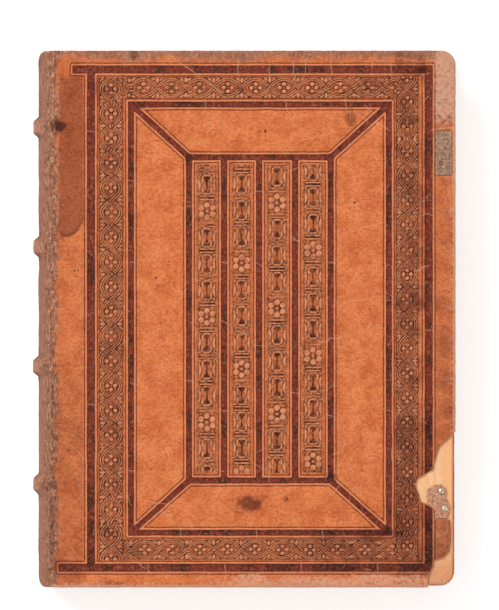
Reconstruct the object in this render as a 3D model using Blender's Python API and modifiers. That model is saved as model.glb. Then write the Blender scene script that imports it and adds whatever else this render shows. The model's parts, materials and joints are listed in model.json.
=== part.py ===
"""Antique leather book: wooden boards, tooled leather, raised bands, pages and its two swinging covers.

The book lies closed on its back cover. +X is the fore-edge, +Y the head and +Z the front cover. The origin is
at the middle of the underside.
"""

import math

import bmesh
import bpy
from mathutils import Matrix, Vector

# Whole book
COVER_HEIGHT = 0.315  # head to tail
COVER_WIDTH = 0.2346  # joint to fore-edge
PAGES_THICKNESS = 0.040
SPINE_ROUND = 0.0103  # how far the spine leather bulges beyond the joints
GAP = 0.0003  # between pieces that touch
PAGES_GAP = 0.0004  # between a cover and the pages

# Skins and sheets
LEATHER = 0.0014
TURN_IN_LEATHER = 0.0010  # pared thinner where it is turned in
TURN_IN_REACH = 0.018
PASTEDOWN = 0.0004
PASTEDOWN_INSET = 0.004
LINING = 0.0008
LINING_INSET = 0.0008  # from a lining's ends to the thongs beside it

# Boards
BOARD_THICKNESS = 0.0075
BOARD_SETBACK = 0.0006  # from the joint line to the board
BOARD_BEVEL = 0.0018  # on the inner edge beside the joint
CORNER_RADIUS = 0.0085
EDGE_ROUND = 0.0018

# Pages
SQUARE = 0.005  # how far the covers stand beyond the pages
FORE_HOLLOW = 0.0055

# Raised bands, and the thongs and slips under them
BAND_RISE = 0.0032
BAND_BASE = 0.0135
THONG_WIDTH = 0.008
THONG_END = 76.0  # degrees round the spine
SLIP_THICKNESS = 0.0016
SLIP_RUN = 0.0125
PEG_THICKNESS = 0.0022
PEG_TAPER = 0.0003
SWELLING_LENGTH = 0.0125
SWELLING_WIDTH = 0.0128
SWELLING_RISE = 0.0015
SWELLING_START = 0.0014  # from the joint line
SWELLING_ROOT = 0.0003  # how deep its sides start in the leather

# Headcaps and endbands
CAP_RADIUS = 0.0022
CAP_LIP = 0.0015
ENDBAND_RADIUS = 0.0016

# Tooled fillets
FILLET_WIDTH = 0.0038
FILLET_DEPTH = 0.0005
FRAME_JOINT_MARGIN = 0.0208
FRAME_FORE_MARGIN = 0.0158
FRAME_END_MARGIN = 0.0114
BORDER_SIDE = 0.0234  # between the lines of the outer and the inner frame
BORDER_END = 0.0205
FIELD_SIDE = 0.0341  # between the lines of the inner frame and of the panel
FIELD_END = 0.0308
PANEL_BARS = 3
HEAD_LINE_RUN = 0.0085  # how far the outer frame's lines run on towards the joint
TAIL_LINE_RUN = 0.0167

# Rolls of ornament: flowers between the two frames, rosettes and balusters between the panel's bars
ROLL_DEPTH = 0.0005
ROLL_WIDTH = 0.0138
FLOWER_PITCH = 0.0145  # up the sides
FLOWER_END_PITCH = 0.0160  # across the ends
FLOWER_LENGTH = 0.0108
FLOWER_WIDTH = 0.0120
PETAL_REACH = 0.0042
BALUSTER_PITCH = 0.0154
BALUSTER_LENGTH = 0.0108
BALUSTER_WIDTH = 0.0040
ROSETTE_RADIUS = 0.0062
ROSETTE_REACH = 0.0047
ROSETTE_PERIOD = 4

# Lost leather at the tail corner
LOSS_WIDTH = 0.0236
LOSS_HEIGHT = 0.0913

# Strap plates and nails
HEAD_PLATE_WIDTH = 0.0099
HEAD_PLATE_LENGTH = 0.0260
HEAD_PLATE_THICKNESS = 0.0007
HEAD_PLATE_CORNER = 0.0012
HEAD_PLATE_SINK = 0.0003  # below the face of the leather
HEAD_PLATE_FROM_FORE = 0.0021
HEAD_PLATE_FROM_HEAD = 0.0472
EMPTY_HOLE_RADIUS = 0.0010
EMPTY_HOLE_FROM_TAIL = 0.0072
EMPTY_HOLE_FROM_SPINE = 0.0033
TAIL_PLATE_WIDTH = 0.0136
TAIL_PLATE_LENGTH = 0.0203
TAIL_PLATE_THICKNESS = 0.0008
TAIL_PLATE_FROM_FORE = 0.0029
TAIL_PLATE_FROM_TAIL = 0.0403
NAIL_HEAD_RADIUS = 0.0022
NAIL_HEAD_RISE = 0.0011
NAIL_SHANK_RADIUS = 0.0007
NAIL_LENGTH = 0.0050

OVERRUN = 0.002  # how far a cutter passes its work
SPINE_OVERTURN = 5.0  # degrees that the spine's skin turns past a joint before it is trimmed there

# Worked out from the sizes above
COVER_THICKNESS = LEATHER + GAP + BOARD_THICKNESS + GAP + TURN_IN_LEATHER
COVER_STACK = COVER_THICKNESS + GAP + PASTEDOWN + PAGES_GAP
BOOK_THICKNESS = PAGES_THICKNESS + 2 * COVER_STACK
MIDDLE = BOOK_THICKNESS / 2
JOINT = (GAP / 2 + SPINE_ROUND + BAND_RISE - COVER_WIDTH) / 2
FORE = JOINT + COVER_WIDTH
HALF_HEIGHT = COVER_HEIGHT / 2
PAGES_HEIGHT = COVER_HEIGHT - 2 * SQUARE
BOARD_TOP = BOOK_THICKNESS - LEATHER - GAP
BOARD_BOTTOM = BOARD_TOP - BOARD_THICKNESS
BOARD_START = JOINT + BOARD_SETBACK
COVER_BOTTOM = BOOK_THICKNESS - COVER_THICKNESS
SPINE_START = JOINT - GAP / 2
LINING_DEPTH = LEATHER + GAP
PAGES_DEPTH = LINING_DEPTH + LINING + GAP
THONG_DEPTH = PAGES_DEPTH - GAP

# Places of the raised bands, as shares of the height from the tail
BAND_SHARES = (0.858, 0.635, 0.412, 0.192)

# Across a band: place as a share of half its base, and rise as a share of its full rise
BAND_FORM_SHARES = ((-1, 0), (-0.78, 0.46), (-0.5, 0.96), (0, 1), (0.5, 0.96), (0.78, 0.46), (1, 0))

# Along the swelling that runs on from a band: place and rise
SWELLING_SHARES = ((0, 0), (0.14, 0.4), (0.28, 0.95), (0.5, 1), (0.78, 0.6), (1, 0))

# Half of a waisted baluster: place along it and half width
BALUSTER_SHARES = ((-0.5, 0.5), (0, 0.14), (0.5, 0.5))

# One petal of a flower and of a rosette: distance from the middle, and turn from the petal's own middle
FLOWER_PETAL_SHARES = ((1, 0), (0.5, 0.5))
ROSETTE_PETAL_SHARES = ((1, 0), (0.6, 0.5))

# Section of a split thong: shares of its width and of its thickness
THONG_FORM_SHARES = (
    (-0.5, 0), (-0.5, 0.55), (-0.4, 0.9), (-0.25, 1), (-0.1, 0.9), (0, 0.6),
    (0.1, 0.9), (0.25, 1), (0.4, 0.9), (0.5, 0.55), (0.5, 0),
)

# Lost leather: shares of its width from the fore-edge and of its height from the tail
LOSS_SHARES = (
    (-0.1, 1.02), (0.07, 1), (0.24, 0.945), (0.4, 0.906), (0.505, 0.826), (0.58, 0.754),
    (0.746, 0.728), (0.935, 0.702), (1, 0.669), (0.985, 0.636), (0.92, 0.598), (0.885, 0.551),
    (0.784, 0.545), (0.684, 0.525), (0.55, 0.504), (0.55, 0.433), (0.124, 0.433), (0.137, 0.289),
    (0.187, 0.231), (0.313, 0.197), (0.49, 0.181), (0.567, 0.177), (0.567, 0.138), (0.61, 0.112),
    (0.694, 0.073), (0.694, -0.05), (-0.1, -0.05),
)

# Tail plate: shares of its width from the spine side and of its length from its tail end
TAIL_PLATE_SHARES = (
    (0, 0.4), (0, 0.83), (0.22, 0.96), (0.56, 1), (0.8, 0.89), (0.86, 0.74), (0.78, 0.63),
    (0.9, 0.51), (1, 0.33), (0.95, 0.14), (0.86, 0.02), (0.32, 0), (0.32, 0.28),
)
NAIL_SHARES = ((0.6, 0.8), (0.74, 0.3))

FRONT = Matrix.Identity(4)
BACK = Matrix.Translation((0, 0, BOOK_THICKNESS)) @ Matrix.Scale(-1, 4, (0, 0, 1))


def clear_scene():
    for obj in list(bpy.data.objects):
        bpy.data.objects.remove(obj, do_unlink=True)


def new_collection(name):
    collection = bpy.data.collections.new(name)
    bpy.context.scene.collection.children.link(collection)
    return collection


def new_material(name, colour, roughness, metallic=0.0):
    material = bpy.data.materials.new(name)
    material.use_nodes = True
    shader = material.node_tree.nodes["Principled BSDF"]
    shader.inputs["Base Color"].default_value = (*colour, 1)
    shader.inputs["Roughness"].default_value = roughness
    shader.inputs["Metallic"].default_value = metallic
    return material


def add_piece(name, mesh, material, parent=None):
    """A part of the book. A parent is the empty on its joint's axis."""
    obj = bpy.data.objects.new(name, mesh)
    book.objects.link(obj)
    mesh.materials.clear()
    mesh.materials.append(material)
    if parent:
        obj.parent = parent
        obj.matrix_parent_inverse = Matrix.Translation(parent.location).inverted()
    return obj


def add_cutter(name, mesh, group=None):
    obj = bpy.data.objects.new(name, mesh)
    (group or cutters).objects.link(obj)
    obj.hide_render = True
    obj.display_type = "WIRE"
    return obj


def add_boolean(obj, cutter, operation="DIFFERENCE"):
    modifier = obj.modifiers.new(cutter.name, "BOOLEAN")
    modifier.operation = operation
    if isinstance(cutter, bpy.types.Collection):
        modifier.operand_type = "COLLECTION"
        modifier.collection = cutter
    else:
        modifier.object = cutter


def cutter_group(name):
    group = bpy.data.collections.new(name)
    group.hide_render = True
    cutters.children.link(group)
    return group


def placed(mesh, matrix):
    """The mesh moved by the matrix, turned right side out again where that mirrors it."""
    mesh.transform(matrix)
    if matrix.determinant() < 0:
        mesh.flip_normals()
    return mesh


def mesh_from(form, name):
    mesh = bpy.data.meshes.new(name)
    form.to_mesh(mesh)
    form.free()
    return mesh


def flat_curve(name, outlines, thickness):
    """A filled curve of flat outlines, in which an outline inside another one is a hole."""
    curve = bpy.data.curves.new(name, "CURVE")
    curve.dimensions = "2D"
    curve.fill_mode = "BOTH"
    curve.extrude = thickness / 2
    for outline in outlines:
        spline = curve.splines.new("POLY")
        spline.points.add(len(outline) - 1)
        for point, (across, along) in zip(spline.points, outline):
            point.co = (across, along, 0, 1)
        spline.use_cyclic_u = True
    return curve


def prism(name, outline, bottom, top, side=FRONT, upright=False):
    """A flat outline given its thickness, along Z, or along Y where it is upright."""
    return prisms(name, [outline], bottom, top, side, upright)


def prisms(name, outlines, bottom, top, side=FRONT, upright=False):
    curve = flat_curve(name, outlines, top - bottom)
    guide = bpy.data.objects.new(name, curve)
    bpy.context.scene.collection.objects.link(guide)
    bpy.context.view_layer.update()
    mesh = bpy.data.meshes.new_from_object(guide.evaluated_get(bpy.context.evaluated_depsgraph_get()))
    bpy.data.objects.remove(guide)
    bpy.data.curves.remove(curve)
    form = bmesh.new()
    form.from_mesh(mesh)
    bmesh.ops.remove_doubles(form, verts=form.verts, dist=GAP / 100)
    bmesh.ops.dissolve_limit(form, angle_limit=math.radians(1), verts=form.verts, edges=form.edges)
    bpy.data.meshes.remove(mesh)
    middle = (bottom + top) / 2
    turn = Matrix.Rotation(math.radians(90), 4, "X") if upright else Matrix.Identity(4)
    move = Matrix.Translation((0, middle, 0) if upright else (0, 0, middle))
    return placed(mesh_from(form, name), side @ move @ turn)


def box(name, low, high, side=FRONT):
    form = bmesh.new()
    bmesh.ops.create_cube(form, size=1)
    low = Vector(low)
    high = Vector(high)
    stretch = Matrix.Diagonal((*(high - low), 1))
    return placed(mesh_from(form, name), side @ Matrix.Translation((low + high) / 2) @ stretch)


def rounded_edges(mesh, chosen, width, segments):
    """The mesh with the edges that the test picks rounded off."""
    form = bmesh.new()
    form.from_mesh(mesh)
    edges = [edge for edge in form.edges if chosen(*(vertex.co for vertex in edge.verts))]
    bmesh.ops.bevel(form, geom=edges, offset=width, segments=segments, profile=0.5, affect="EDGES")
    form.to_mesh(mesh)
    form.free()
    return mesh


def turned(name, profile, sides, material, parent):
    """A profile, from its top down its outer side, turned round its own Z axis."""
    mesh = bpy.data.meshes.new(name)
    steps = [(index, index + 1) for index in range(len(profile) - 1)]
    mesh.from_pydata([(radius, 0, height) for radius, height in profile], steps, [])
    obj = add_piece(name, mesh, material, parent)
    screw = obj.modifiers.new("Screw", "SCREW")
    screw.steps = sides
    screw.render_steps = sides
    screw.use_merge_vertices = True
    screw.merge_threshold = GAP / 100
    return obj


def smooth(obj, angle):
    obj.data.shade_smooth()
    obj.data.set_sharp_from_angle(angle=math.radians(angle))


def spine_point(angle, along, rise=0.0, inset=0.0):
    """A point of the spine's outer face: 90 degrees is the front joint and -90 the back one."""
    reach = SPINE_ROUND + rise - inset
    height = MIDDLE - inset
    return Vector((SPINE_START - reach * math.cos(angle), along, MIDDLE + height * math.sin(angle)))


def spine_inside(angle, depth, rise=0.0):
    """A point at a true depth under the spine's outer face, as (x, z)."""
    reach = SPINE_ROUND + rise
    inward = Vector((math.cos(angle) / reach, -math.sin(angle) / MIDDLE)).normalized()
    face = spine_point(angle, 0, rise)
    return face.x + inward.x * depth, face.z + inward.y * depth


def spine_angle(depth, half_thickness):
    """The angle at which the layer at this depth is this far above the book's middle."""
    low = 0.0
    high = math.pi / 2
    for _ in range(40):
        angle = (low + high) / 2
        if spine_inside(angle, depth)[1] - MIDDLE < half_thickness:
            low = angle
        else:
            high = angle
    return angle


def spread(first, last, steps):
    return [first + (last - first) * step / steps for step in range(steps + 1)]


def band_places():
    return [share * COVER_HEIGHT - HALF_HEIGHT for share in BAND_SHARES]


def mapped_grid(name, rows, columns, place):
    """A flat grid of faces whose points the function moves to their places."""
    form = bmesh.new()
    bmesh.ops.create_grid(form, x_segments=rows - 1, y_segments=columns - 1, size=0.5)
    for vertex in form.verts:
        row = round((vertex.co.x + 0.5) * (rows - 1))
        column = round((vertex.co.y + 0.5) * (columns - 1))
        vertex.co = place(row, column)
    return mesh_from(form, name)


def make_spine_leather():
    """One skin from joint to joint, over the bands and turned in as a cap at head and tail."""
    stations = []
    curl = [math.radians(turn) for turn in spread(0, 180, 5)]
    straight = HALF_HEIGHT - CAP_RADIUS
    for turn in curl:
        stations.append((straight + CAP_RADIUS * math.sin(turn), 0, CAP_RADIUS * (1 - math.cos(turn))))
    stations.append((straight - CAP_LIP, 0, 2 * CAP_RADIUS))
    stations.reverse()
    for place in band_places():
        for across, share in reversed(BAND_FORM_SHARES):
            stations.append((place + across * BAND_BASE / 2, share * BAND_RISE, 0))
    for turn in curl:
        stations.append((-straight - CAP_RADIUS * math.sin(turn), 0, CAP_RADIUS * (1 - math.cos(turn))))
    stations.append((CAP_LIP - straight, 0, 2 * CAP_RADIUS))
    last = 90 + SPINE_OVERTURN
    angles = [math.radians(angle) for angle in spread(last, -last, 10)]

    def place(row, column):
        along, rise, inset = stations[column]
        return spine_point(angles[row], along, rise, inset)

    mesh = mapped_grid("spine_leather", len(angles), len(stations), place)
    obj = add_piece("spine_leather", mesh, leather)
    shell = obj.modifiers.new("Thickness", "SOLIDIFY")
    shell.thickness = LEATHER
    shell.offset = -1
    low = (SPINE_START, -HALF_HEIGHT - OVERRUN, -OVERRUN)
    high = (SPINE_START + SPINE_ROUND, HALF_HEIGHT + OVERRUN, BOOK_THICKNESS + OVERRUN)
    add_boolean(obj, add_cutter("joint_trim", box("joint_trim", low, high)))
    smooth(obj, 50)


def make_text_block():
    edge = spine_angle(PAGES_DEPTH, PAGES_THICKNESS / 2)
    outline = [spine_inside(angle, PAGES_DEPTH) for angle in spread(-edge, edge, 12)]
    fore = FORE - SQUARE
    half = PAGES_THICKNESS / 2
    for share in spread(1, -1, 10):
        outline.append((fore - FORE_HOLLOW * (1 - share * share), MIDDLE + half * share))
    mesh = prism("text_block", outline, -PAGES_HEIGHT / 2, PAGES_HEIGHT / 2, upright=True)
    smooth(add_piece("text_block", mesh, paper), 30)


def make_linings():
    """A strip of cloth on the pages between each two thongs, and beyond the last ones."""
    edge = spine_angle(PAGES_DEPTH, PAGES_THICKNESS / 2 - LINING_INSET)
    angles = spread(edge, -edge, 8)
    half_thong = THONG_WIDTH / 2 + LINING_INSET
    places = band_places()
    heads = [PAGES_HEIGHT / 2 - LINING_INSET] + [place - half_thong for place in places]
    tails = [place + half_thong for place in places] + [LINING_INSET - PAGES_HEIGHT / 2]
    for number, (head, tail) in enumerate(zip(heads, tails), 1):

        def place(row, column, head=head, tail=tail):
            across, up = spine_inside(angles[row], LINING_DEPTH)
            return across, (head, tail)[column], up

        name = f"spine_lining_{number}"
        obj = add_piece(name, mapped_grid(name, len(angles), 2, place), cloth)
        shell = obj.modifiers.new("Thickness", "SOLIDIFY")
        shell.thickness = LINING
        shell.offset = -1
        smooth(obj, 30)


def make_thongs():
    """Split thongs laid across the backs of the pages, thickest in the middle of the spine."""
    angles = [math.radians(angle) for angle in spread(THONG_END, -THONG_END, 8)]
    count = len(THONG_FORM_SHARES)
    for number, middle in enumerate(band_places(), 1):
        name = f"spine_thong_{number}"
        form = bmesh.new()
        rings = []
        for angle in angles:
            low = Vector(spine_inside(angle, THONG_DEPTH))
            high = Vector(spine_inside(angle, LINING_DEPTH, BAND_RISE))
            ring = []
            for across, up in THONG_FORM_SHARES:
                point = low.lerp(high, up)
                ring.append(form.verts.new((point.x, middle + across * THONG_WIDTH, point.y)))
            rings.append(ring)
        for ring, following in zip(rings, rings[1:]):
            for index in range(count):
                after = (index + 1) % count
                form.faces.new((ring[index], ring[after], following[after], following[index]))
        form.faces.new(reversed(rings[0]))
        form.faces.new(rings[-1])
        bmesh.ops.recalc_face_normals(form, faces=form.faces)
        smooth(add_piece(name, mesh_from(form, name), hide), 40)


def make_endbands():
    """The cores sewn on the ends of the pages, just inside the caps."""
    inset = 2 * CAP_RADIUS + 2 * GAP + ENDBAND_RADIUS
    limit = math.asin((PAGES_THICKNESS / 2 - ENDBAND_RADIUS) / (MIDDLE - inset))
    along = PAGES_HEIGHT / 2 + GAP + ENDBAND_RADIUS
    for name, end in (("endband_head", along), ("endband_tail", -along)):
        curve = bpy.data.curves.new(name, "CURVE")
        curve.dimensions = "3D"
        curve.bevel_depth = ENDBAND_RADIUS
        curve.bevel_resolution = 1
        curve.use_fill_caps = True
        points = [spine_point(angle, end, inset=inset) for angle in spread(-limit, limit, 10)]
        spline = curve.splines.new("POLY")
        spline.points.add(len(points) - 1)
        for target, point in zip(spline.points, points):
            target.co = (*point, 1)
        obj = bpy.data.objects.new(name, curve)
        book.objects.link(obj)
        curve.materials.append(thread)


def cover_outline(start, inset, corner):
    """A cover's outline from its joint side, its two fore-edge corners as arcs."""
    fore = FORE - inset
    head = HALF_HEIGHT - inset
    points = [(start, -head)]
    for turn in spread(-90, 0, 5):
        angle = math.radians(turn)
        points.append((fore - corner + corner * math.cos(angle), corner - head + corner * math.sin(angle)))
    points += [(across, -along) for across, along in reversed(points)]
    return points


def make_board(name, side, parent, holes):
    inset = LEATHER + GAP
    outline = cover_outline(BOARD_START, inset, CORNER_RADIUS - inset)
    mesh = prism(name, outline, BOARD_BOTTOM, BOARD_TOP)
    limit = BOARD_START + GAP

    def inner_joint_edge(first, second):
        low = max(first.z, second.z) < BOARD_BOTTOM + GAP
        return low and max(first.x, second.x) < limit

    def outer_edge(first, second):
        return min(first.z, second.z) > BOARD_TOP - GAP and max(first.x, second.x) > limit

    rounded_edges(mesh, inner_joint_edge, BOARD_BEVEL, 1)
    rounded_edges(mesh, outer_edge, EDGE_ROUND - GAP, 3)
    obj = add_piece(name, placed(mesh, side), wood, parent)
    add_boolean(obj, holes)
    return obj


def make_slips(cover, side, parent):
    """The thongs' ends, each let into a channel, turned down through the board and pegged."""
    holes = cutter_group(f"{cover}_slip_holes")
    end = BOARD_START + SLIP_RUN
    under = BOARD_TOP - SLIP_THICKNESS
    half = THONG_WIDTH / 2
    for number, middle in enumerate(band_places(), 1):
        channel_low = (BOARD_START - OVERRUN, middle - half - GAP, under - GAP)
        channel_high = (end + GAP, middle + half + GAP, BOARD_TOP + OVERRUN)
        add_cutter(f"{cover}_channel_{number}", box("channel", channel_low, channel_high, side), holes)
        hole_low = (end - SLIP_THICKNESS - GAP, middle - half - GAP, BOARD_BOTTOM - OVERRUN)
        hole_high = (end + PEG_THICKNESS + 2 * GAP, middle + half + GAP, BOARD_TOP + OVERRUN)
        add_cutter(f"{cover}_hole_{number}", box("hole", hole_low, hole_high, side), holes)
        outline = (
            (BOARD_START, BOARD_TOP),
            (BOARD_START, under),
            (end - SLIP_THICKNESS, under),
            (end - SLIP_THICKNESS, BOARD_BOTTOM),
            (end, BOARD_BOTTOM),
            (end, BOARD_TOP),
        )
        name = f"{cover}_slip_{number}"
        add_piece(name, prism(name, outline, middle - half, middle + half, side, upright=True), hide, parent)
        start = end + GAP
        wedge = (
            (start, BOARD_TOP),
            (start, BOARD_BOTTOM),
            (start + PEG_THICKNESS - PEG_TAPER, BOARD_BOTTOM),
            (start + PEG_THICKNESS, BOARD_TOP),
        )
        name = f"{cover}_peg_{number}"
        add_piece(name, prism(name, wedge, middle - half, middle + half, side, upright=True), wood, parent)
    return holes


def fillet(group, side, low, high):
    """A cutter for one pressed line, over the rectangle between its two corners."""
    bottom = BOOK_THICKNESS - FILLET_DEPTH
    top = BOOK_THICKNESS + OVERRUN
    name = f"{group.name}_{len(group.objects) + 1}"
    add_cutter(name, box("fillet", (*low, bottom), (*high, top), side), group)


def fillet_frame(group, side, left, right, half_height, head_run=0.0, tail_run=0.0):
    half = FILLET_WIDTH / 2
    end = half_height + half
    fillet(group, side, (left - half, -end), (left + half, end))
    fillet(group, side, (right - half, -end), (right + half, end))
    fillet(group, side, (left - head_run - half, half_height - half), (right + half, end))
    fillet(group, side, (left - tail_run - half, -end), (right + half, half - half_height))


def frame_lines():
    """The middles of the lines of the outer frame, the inner one and the panel: left, right and half height."""
    left = JOINT + FRAME_JOINT_MARGIN
    right = FORE - FRAME_FORE_MARGIN
    height = HALF_HEIGHT - FRAME_END_MARGIN
    outer = (left, right, height)
    inner = (left + BORDER_SIDE, right - BORDER_SIDE, height - BORDER_END)
    panel = (inner[0] + FIELD_SIDE, inner[1] - FIELD_SIDE, inner[2] - FIELD_END)
    return outer, inner, panel


def make_fillets(cover, side):
    """Frame inside frame, bars in the panel, and a slanting line across each corner of the field."""
    group = cutter_group(f"{cover}_fillets")
    outer, inner, panel = frame_lines()
    fillet_frame(group, side, *outer, HEAD_LINE_RUN, TAIL_LINE_RUN)
    fillet_frame(group, side, *inner)
    fillet_frame(group, side, *panel)
    half = FILLET_WIDTH / 2
    for middle in spread(panel[0], panel[1], PANEL_BARS + 1)[1:-1]:
        fillet(group, side, (middle - half, -panel[2]), (middle + half, panel[2]))
    for corner, panel_corner in zip(inner[:2], panel[:2]):
        for end in (-1, 1):
            start = Vector((corner, end * inner[2]))
            stop = Vector((panel_corner, end * panel[2]))
            wide = (stop - start).orthogonal().normalized() * half
            corners = [start + wide, start - wide, stop - wide, stop + wide]
            bottom = BOOK_THICKNESS - FILLET_DEPTH
            mesh = prism("slant", corners, bottom, BOOK_THICKNESS + OVERRUN, side)
            add_cutter(f"{group.name}_{len(group.objects) + 1}", mesh, group)
    return group


def petals(place, reach, count, petal_shares):
    outline = []
    for number in range(count):
        for radius, turn in petal_shares:
            angle = 2 * math.pi * (number + turn) / count
            outline.append((place[0] + reach * radius * math.cos(angle), place[1] + reach * radius * math.sin(angle)))
    return outline


def polygon(place, half_width, half_height, sides):
    corners = [2 * math.pi * number / sides for number in range(sides)]
    return [(place[0] + half_width * math.cos(at), place[1] + half_height * math.sin(at)) for at in corners]


def repeats(run, pitch):
    """The places of as many motifs as the run holds, set out from its middle."""
    count = int(run / pitch)
    return [(number - (count - 1) / 2) * pitch for number in range(count)]


def flower_outlines():
    """A flower in a sunken lozenge, along the four sides between the outer and the inner frame."""
    (left, right, height), _, _ = frame_lines()
    left += BORDER_SIDE / 2
    right -= BORDER_SIDE / 2
    end = height - BORDER_END / 2
    along = FLOWER_LENGTH / 2
    across = FLOWER_WIDTH / 2
    flowers = []
    for place in repeats(2 * height - FILLET_WIDTH, FLOWER_PITCH):
        flowers += [((side, place), across, along) for side in (left, right)]
    middle = (left + right) / 2
    for place in repeats(right - left - ROLL_WIDTH, FLOWER_END_PITCH):
        flowers += [((middle + place, side), along, across) for side in (-end, end)]
    outlines = []
    for place, half_width, half_height in flowers:
        outlines += [polygon(place, half_width, half_height, 4), petals(place, PETAL_REACH, 4, FLOWER_PETAL_SHARES)]
    return outlines


def panel_outlines():
    """Balusters up each bay of the panel, with a rosette at every few of them."""
    left, right, height = frame_lines()[2]
    lines = spread(left, right, PANEL_BARS + 1)
    outlines = []
    for bay, (first, second) in enumerate(zip(lines, lines[1:])):
        middle = (first + second) / 2
        for number, along in enumerate(repeats(2 * height - FILLET_WIDTH, BALUSTER_PITCH)):
            place = (middle, along)
            if number % ROSETTE_PERIOD == bay % 2 * ROSETTE_PERIOD / 2:
                outlines.append(polygon(place, ROSETTE_RADIUS, ROSETTE_RADIUS, 6))
                outlines.append(petals(place, ROSETTE_REACH, 6, ROSETTE_PETAL_SHARES))
            else:
                half = [(across * BALUSTER_WIDTH, up * BALUSTER_LENGTH) for up, across in BALUSTER_SHARES]
                whole = half + [(-across, up) for across, up in reversed(half)]
                outlines.append([(middle + across, along + up) for across, up in whole])
    return outlines


def make_rolls():
    """A cutter of all the sunken grounds of the rolls, round the motifs that stay standing."""
    outlines = flower_outlines() + panel_outlines()
    bottom = BOOK_THICKNESS - ROLL_DEPTH
    return add_cutter("rolls", prisms("rolls", outlines, bottom, BOOK_THICKNESS + OVERRUN))


def make_cover_leather(name, side, parent, additions, cuts):
    """The skin over a board's outer face and three edges, turned in round its inner face."""
    start = JOINT + GAP / 2
    mesh = prism(name, cover_outline(start, 0, CORNER_RADIUS), COVER_BOTTOM, BOOK_THICKNESS)

    def outer_edge(first, second):
        high = min(first.z, second.z) > BOOK_THICKNESS - GAP
        return high and max(first.x, second.x) > start + GAP

    rounded_edges(mesh, outer_edge, EDGE_ROUND, 3)
    obj = add_piece(name, placed(mesh, side), leather, parent)
    room = cutter_group(f"{name}_room")
    outline = cover_outline(start - OVERRUN, LEATHER, CORNER_RADIUS - LEATHER)
    floor = BOARD_BOTTOM - GAP
    ceiling = BOARD_TOP + GAP
    inside = prism("inside", outline, floor, ceiling)

    def room_edge(first, second):
        return min(first.z, second.z) > ceiling - GAP and max(first.x, second.x) > start

    rounded_edges(inside, room_edge, EDGE_ROUND - GAP, 3)
    add_cutter(f"{name}_inside", placed(inside, side), room)
    outline = cover_outline(start - OVERRUN, TURN_IN_REACH, CORNER_RADIUS)
    window = prism("window", outline, COVER_BOTTOM - OVERRUN, floor + OVERRUN, side)
    add_cutter(f"{name}_window", window, room)
    for addition in additions:
        add_boolean(obj, addition, "UNION")
    add_boolean(obj, room)
    for cut in cuts:
        add_boolean(obj, cut)
    smooth(obj, 40)
    return obj


def make_swellings():
    """The bands running on to the cover beside the joint, where its leather goes over the slips."""
    group = cutter_group("swellings")
    root = BOOK_THICKNESS - SWELLING_ROOT
    for number, middle in enumerate(band_places(), 1):

        def place(row, column, middle=middle):
            run, rise = SWELLING_SHARES[row]
            across, share = BAND_FORM_SHARES[column]
            height = rise * share * (SWELLING_RISE + SWELLING_ROOT)
            return JOINT + SWELLING_START + run * SWELLING_LENGTH, middle + across * SWELLING_WIDTH / 2, root + height

        name = f"swelling_{number}"
        form = bmesh.new()
        form.from_mesh(mapped_grid(name, len(SWELLING_SHARES), len(BAND_FORM_SHARES), place))
        sheet = bmesh.ops.extrude_face_region(form, geom=form.faces[:])
        for item in sheet["geom"]:
            if isinstance(item, bmesh.types.BMVert):
                item.co.z = root - SWELLING_ROOT
        bmesh.ops.recalc_face_normals(form, faces=form.faces)
        add_cutter(name, mesh_from(form, name), group)
    return group


def make_pastedown(name, side, parent):
    start = BOARD_START
    outline = cover_outline(start, PASTEDOWN_INSET, CORNER_RADIUS - PASTEDOWN_INSET)
    top = COVER_BOTTOM - GAP
    add_piece(name, prism(name, outline, top - PASTEDOWN, top, side), paper, parent)


def lost_leather():
    """A cutter of the worn-away stretch at the fore-edge and tail, with the tongue of leather left in it."""
    tail = -HALF_HEIGHT
    outline = [(FORE - LOSS_WIDTH * across, tail + LOSS_HEIGHT * up) for across, up in LOSS_SHARES]
    low = COVER_BOTTOM - OVERRUN
    return add_cutter("loss", prism("loss", outline, low, BOOK_THICKNESS + OVERRUN))


def cylinder(name, place, radius, bottom, top, sides=16):
    form = bmesh.new()
    bmesh.ops.create_cone(form, cap_ends=True, segments=sides, radius1=radius, radius2=radius, depth=top - bottom)
    middle = Matrix.Translation((*place, (bottom + top) / 2))
    return placed(mesh_from(form, name), middle)


def make_head_plate(parent):
    """The corroded plate sunk in the leather near the head, one nail of it lost. Returns its recess."""
    right = FORE - HEAD_PLATE_FROM_FORE
    left = right - HEAD_PLATE_WIDTH
    head = HALF_HEIGHT - HEAD_PLATE_FROM_HEAD
    tail = head - HEAD_PLATE_LENGTH
    bottom = BOOK_THICKNESS - HEAD_PLATE_SINK
    low = (left, tail, bottom)
    mesh = box("strap_plate_head", low, (right, head, bottom + HEAD_PLATE_THICKNESS))

    def upright_edge(first, second):
        return (first - second).xy.length < GAP

    rounded_edges(mesh, upright_edge, HEAD_PLATE_CORNER, 3)
    plate = add_piece("strap_plate_head", mesh, brass, parent)
    place = (left + EMPTY_HOLE_FROM_SPINE, tail + EMPTY_HOLE_FROM_TAIL)
    top = bottom + HEAD_PLATE_THICKNESS + OVERRUN
    hole = cylinder("empty_hole", place, EMPTY_HOLE_RADIUS, bottom - OVERRUN, top)
    add_boolean(plate, add_cutter("empty_hole", hole))
    recess_low = (left - GAP, tail - GAP, bottom - GAP)
    recess_high = (right + GAP, head + GAP, BOOK_THICKNESS + OVERRUN)
    recess = box("plate_recess", recess_low, recess_high)
    rounded_edges(recess, upright_edge, HEAD_PLATE_CORNER, 3)
    return add_cutter("plate_recess", recess)


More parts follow.
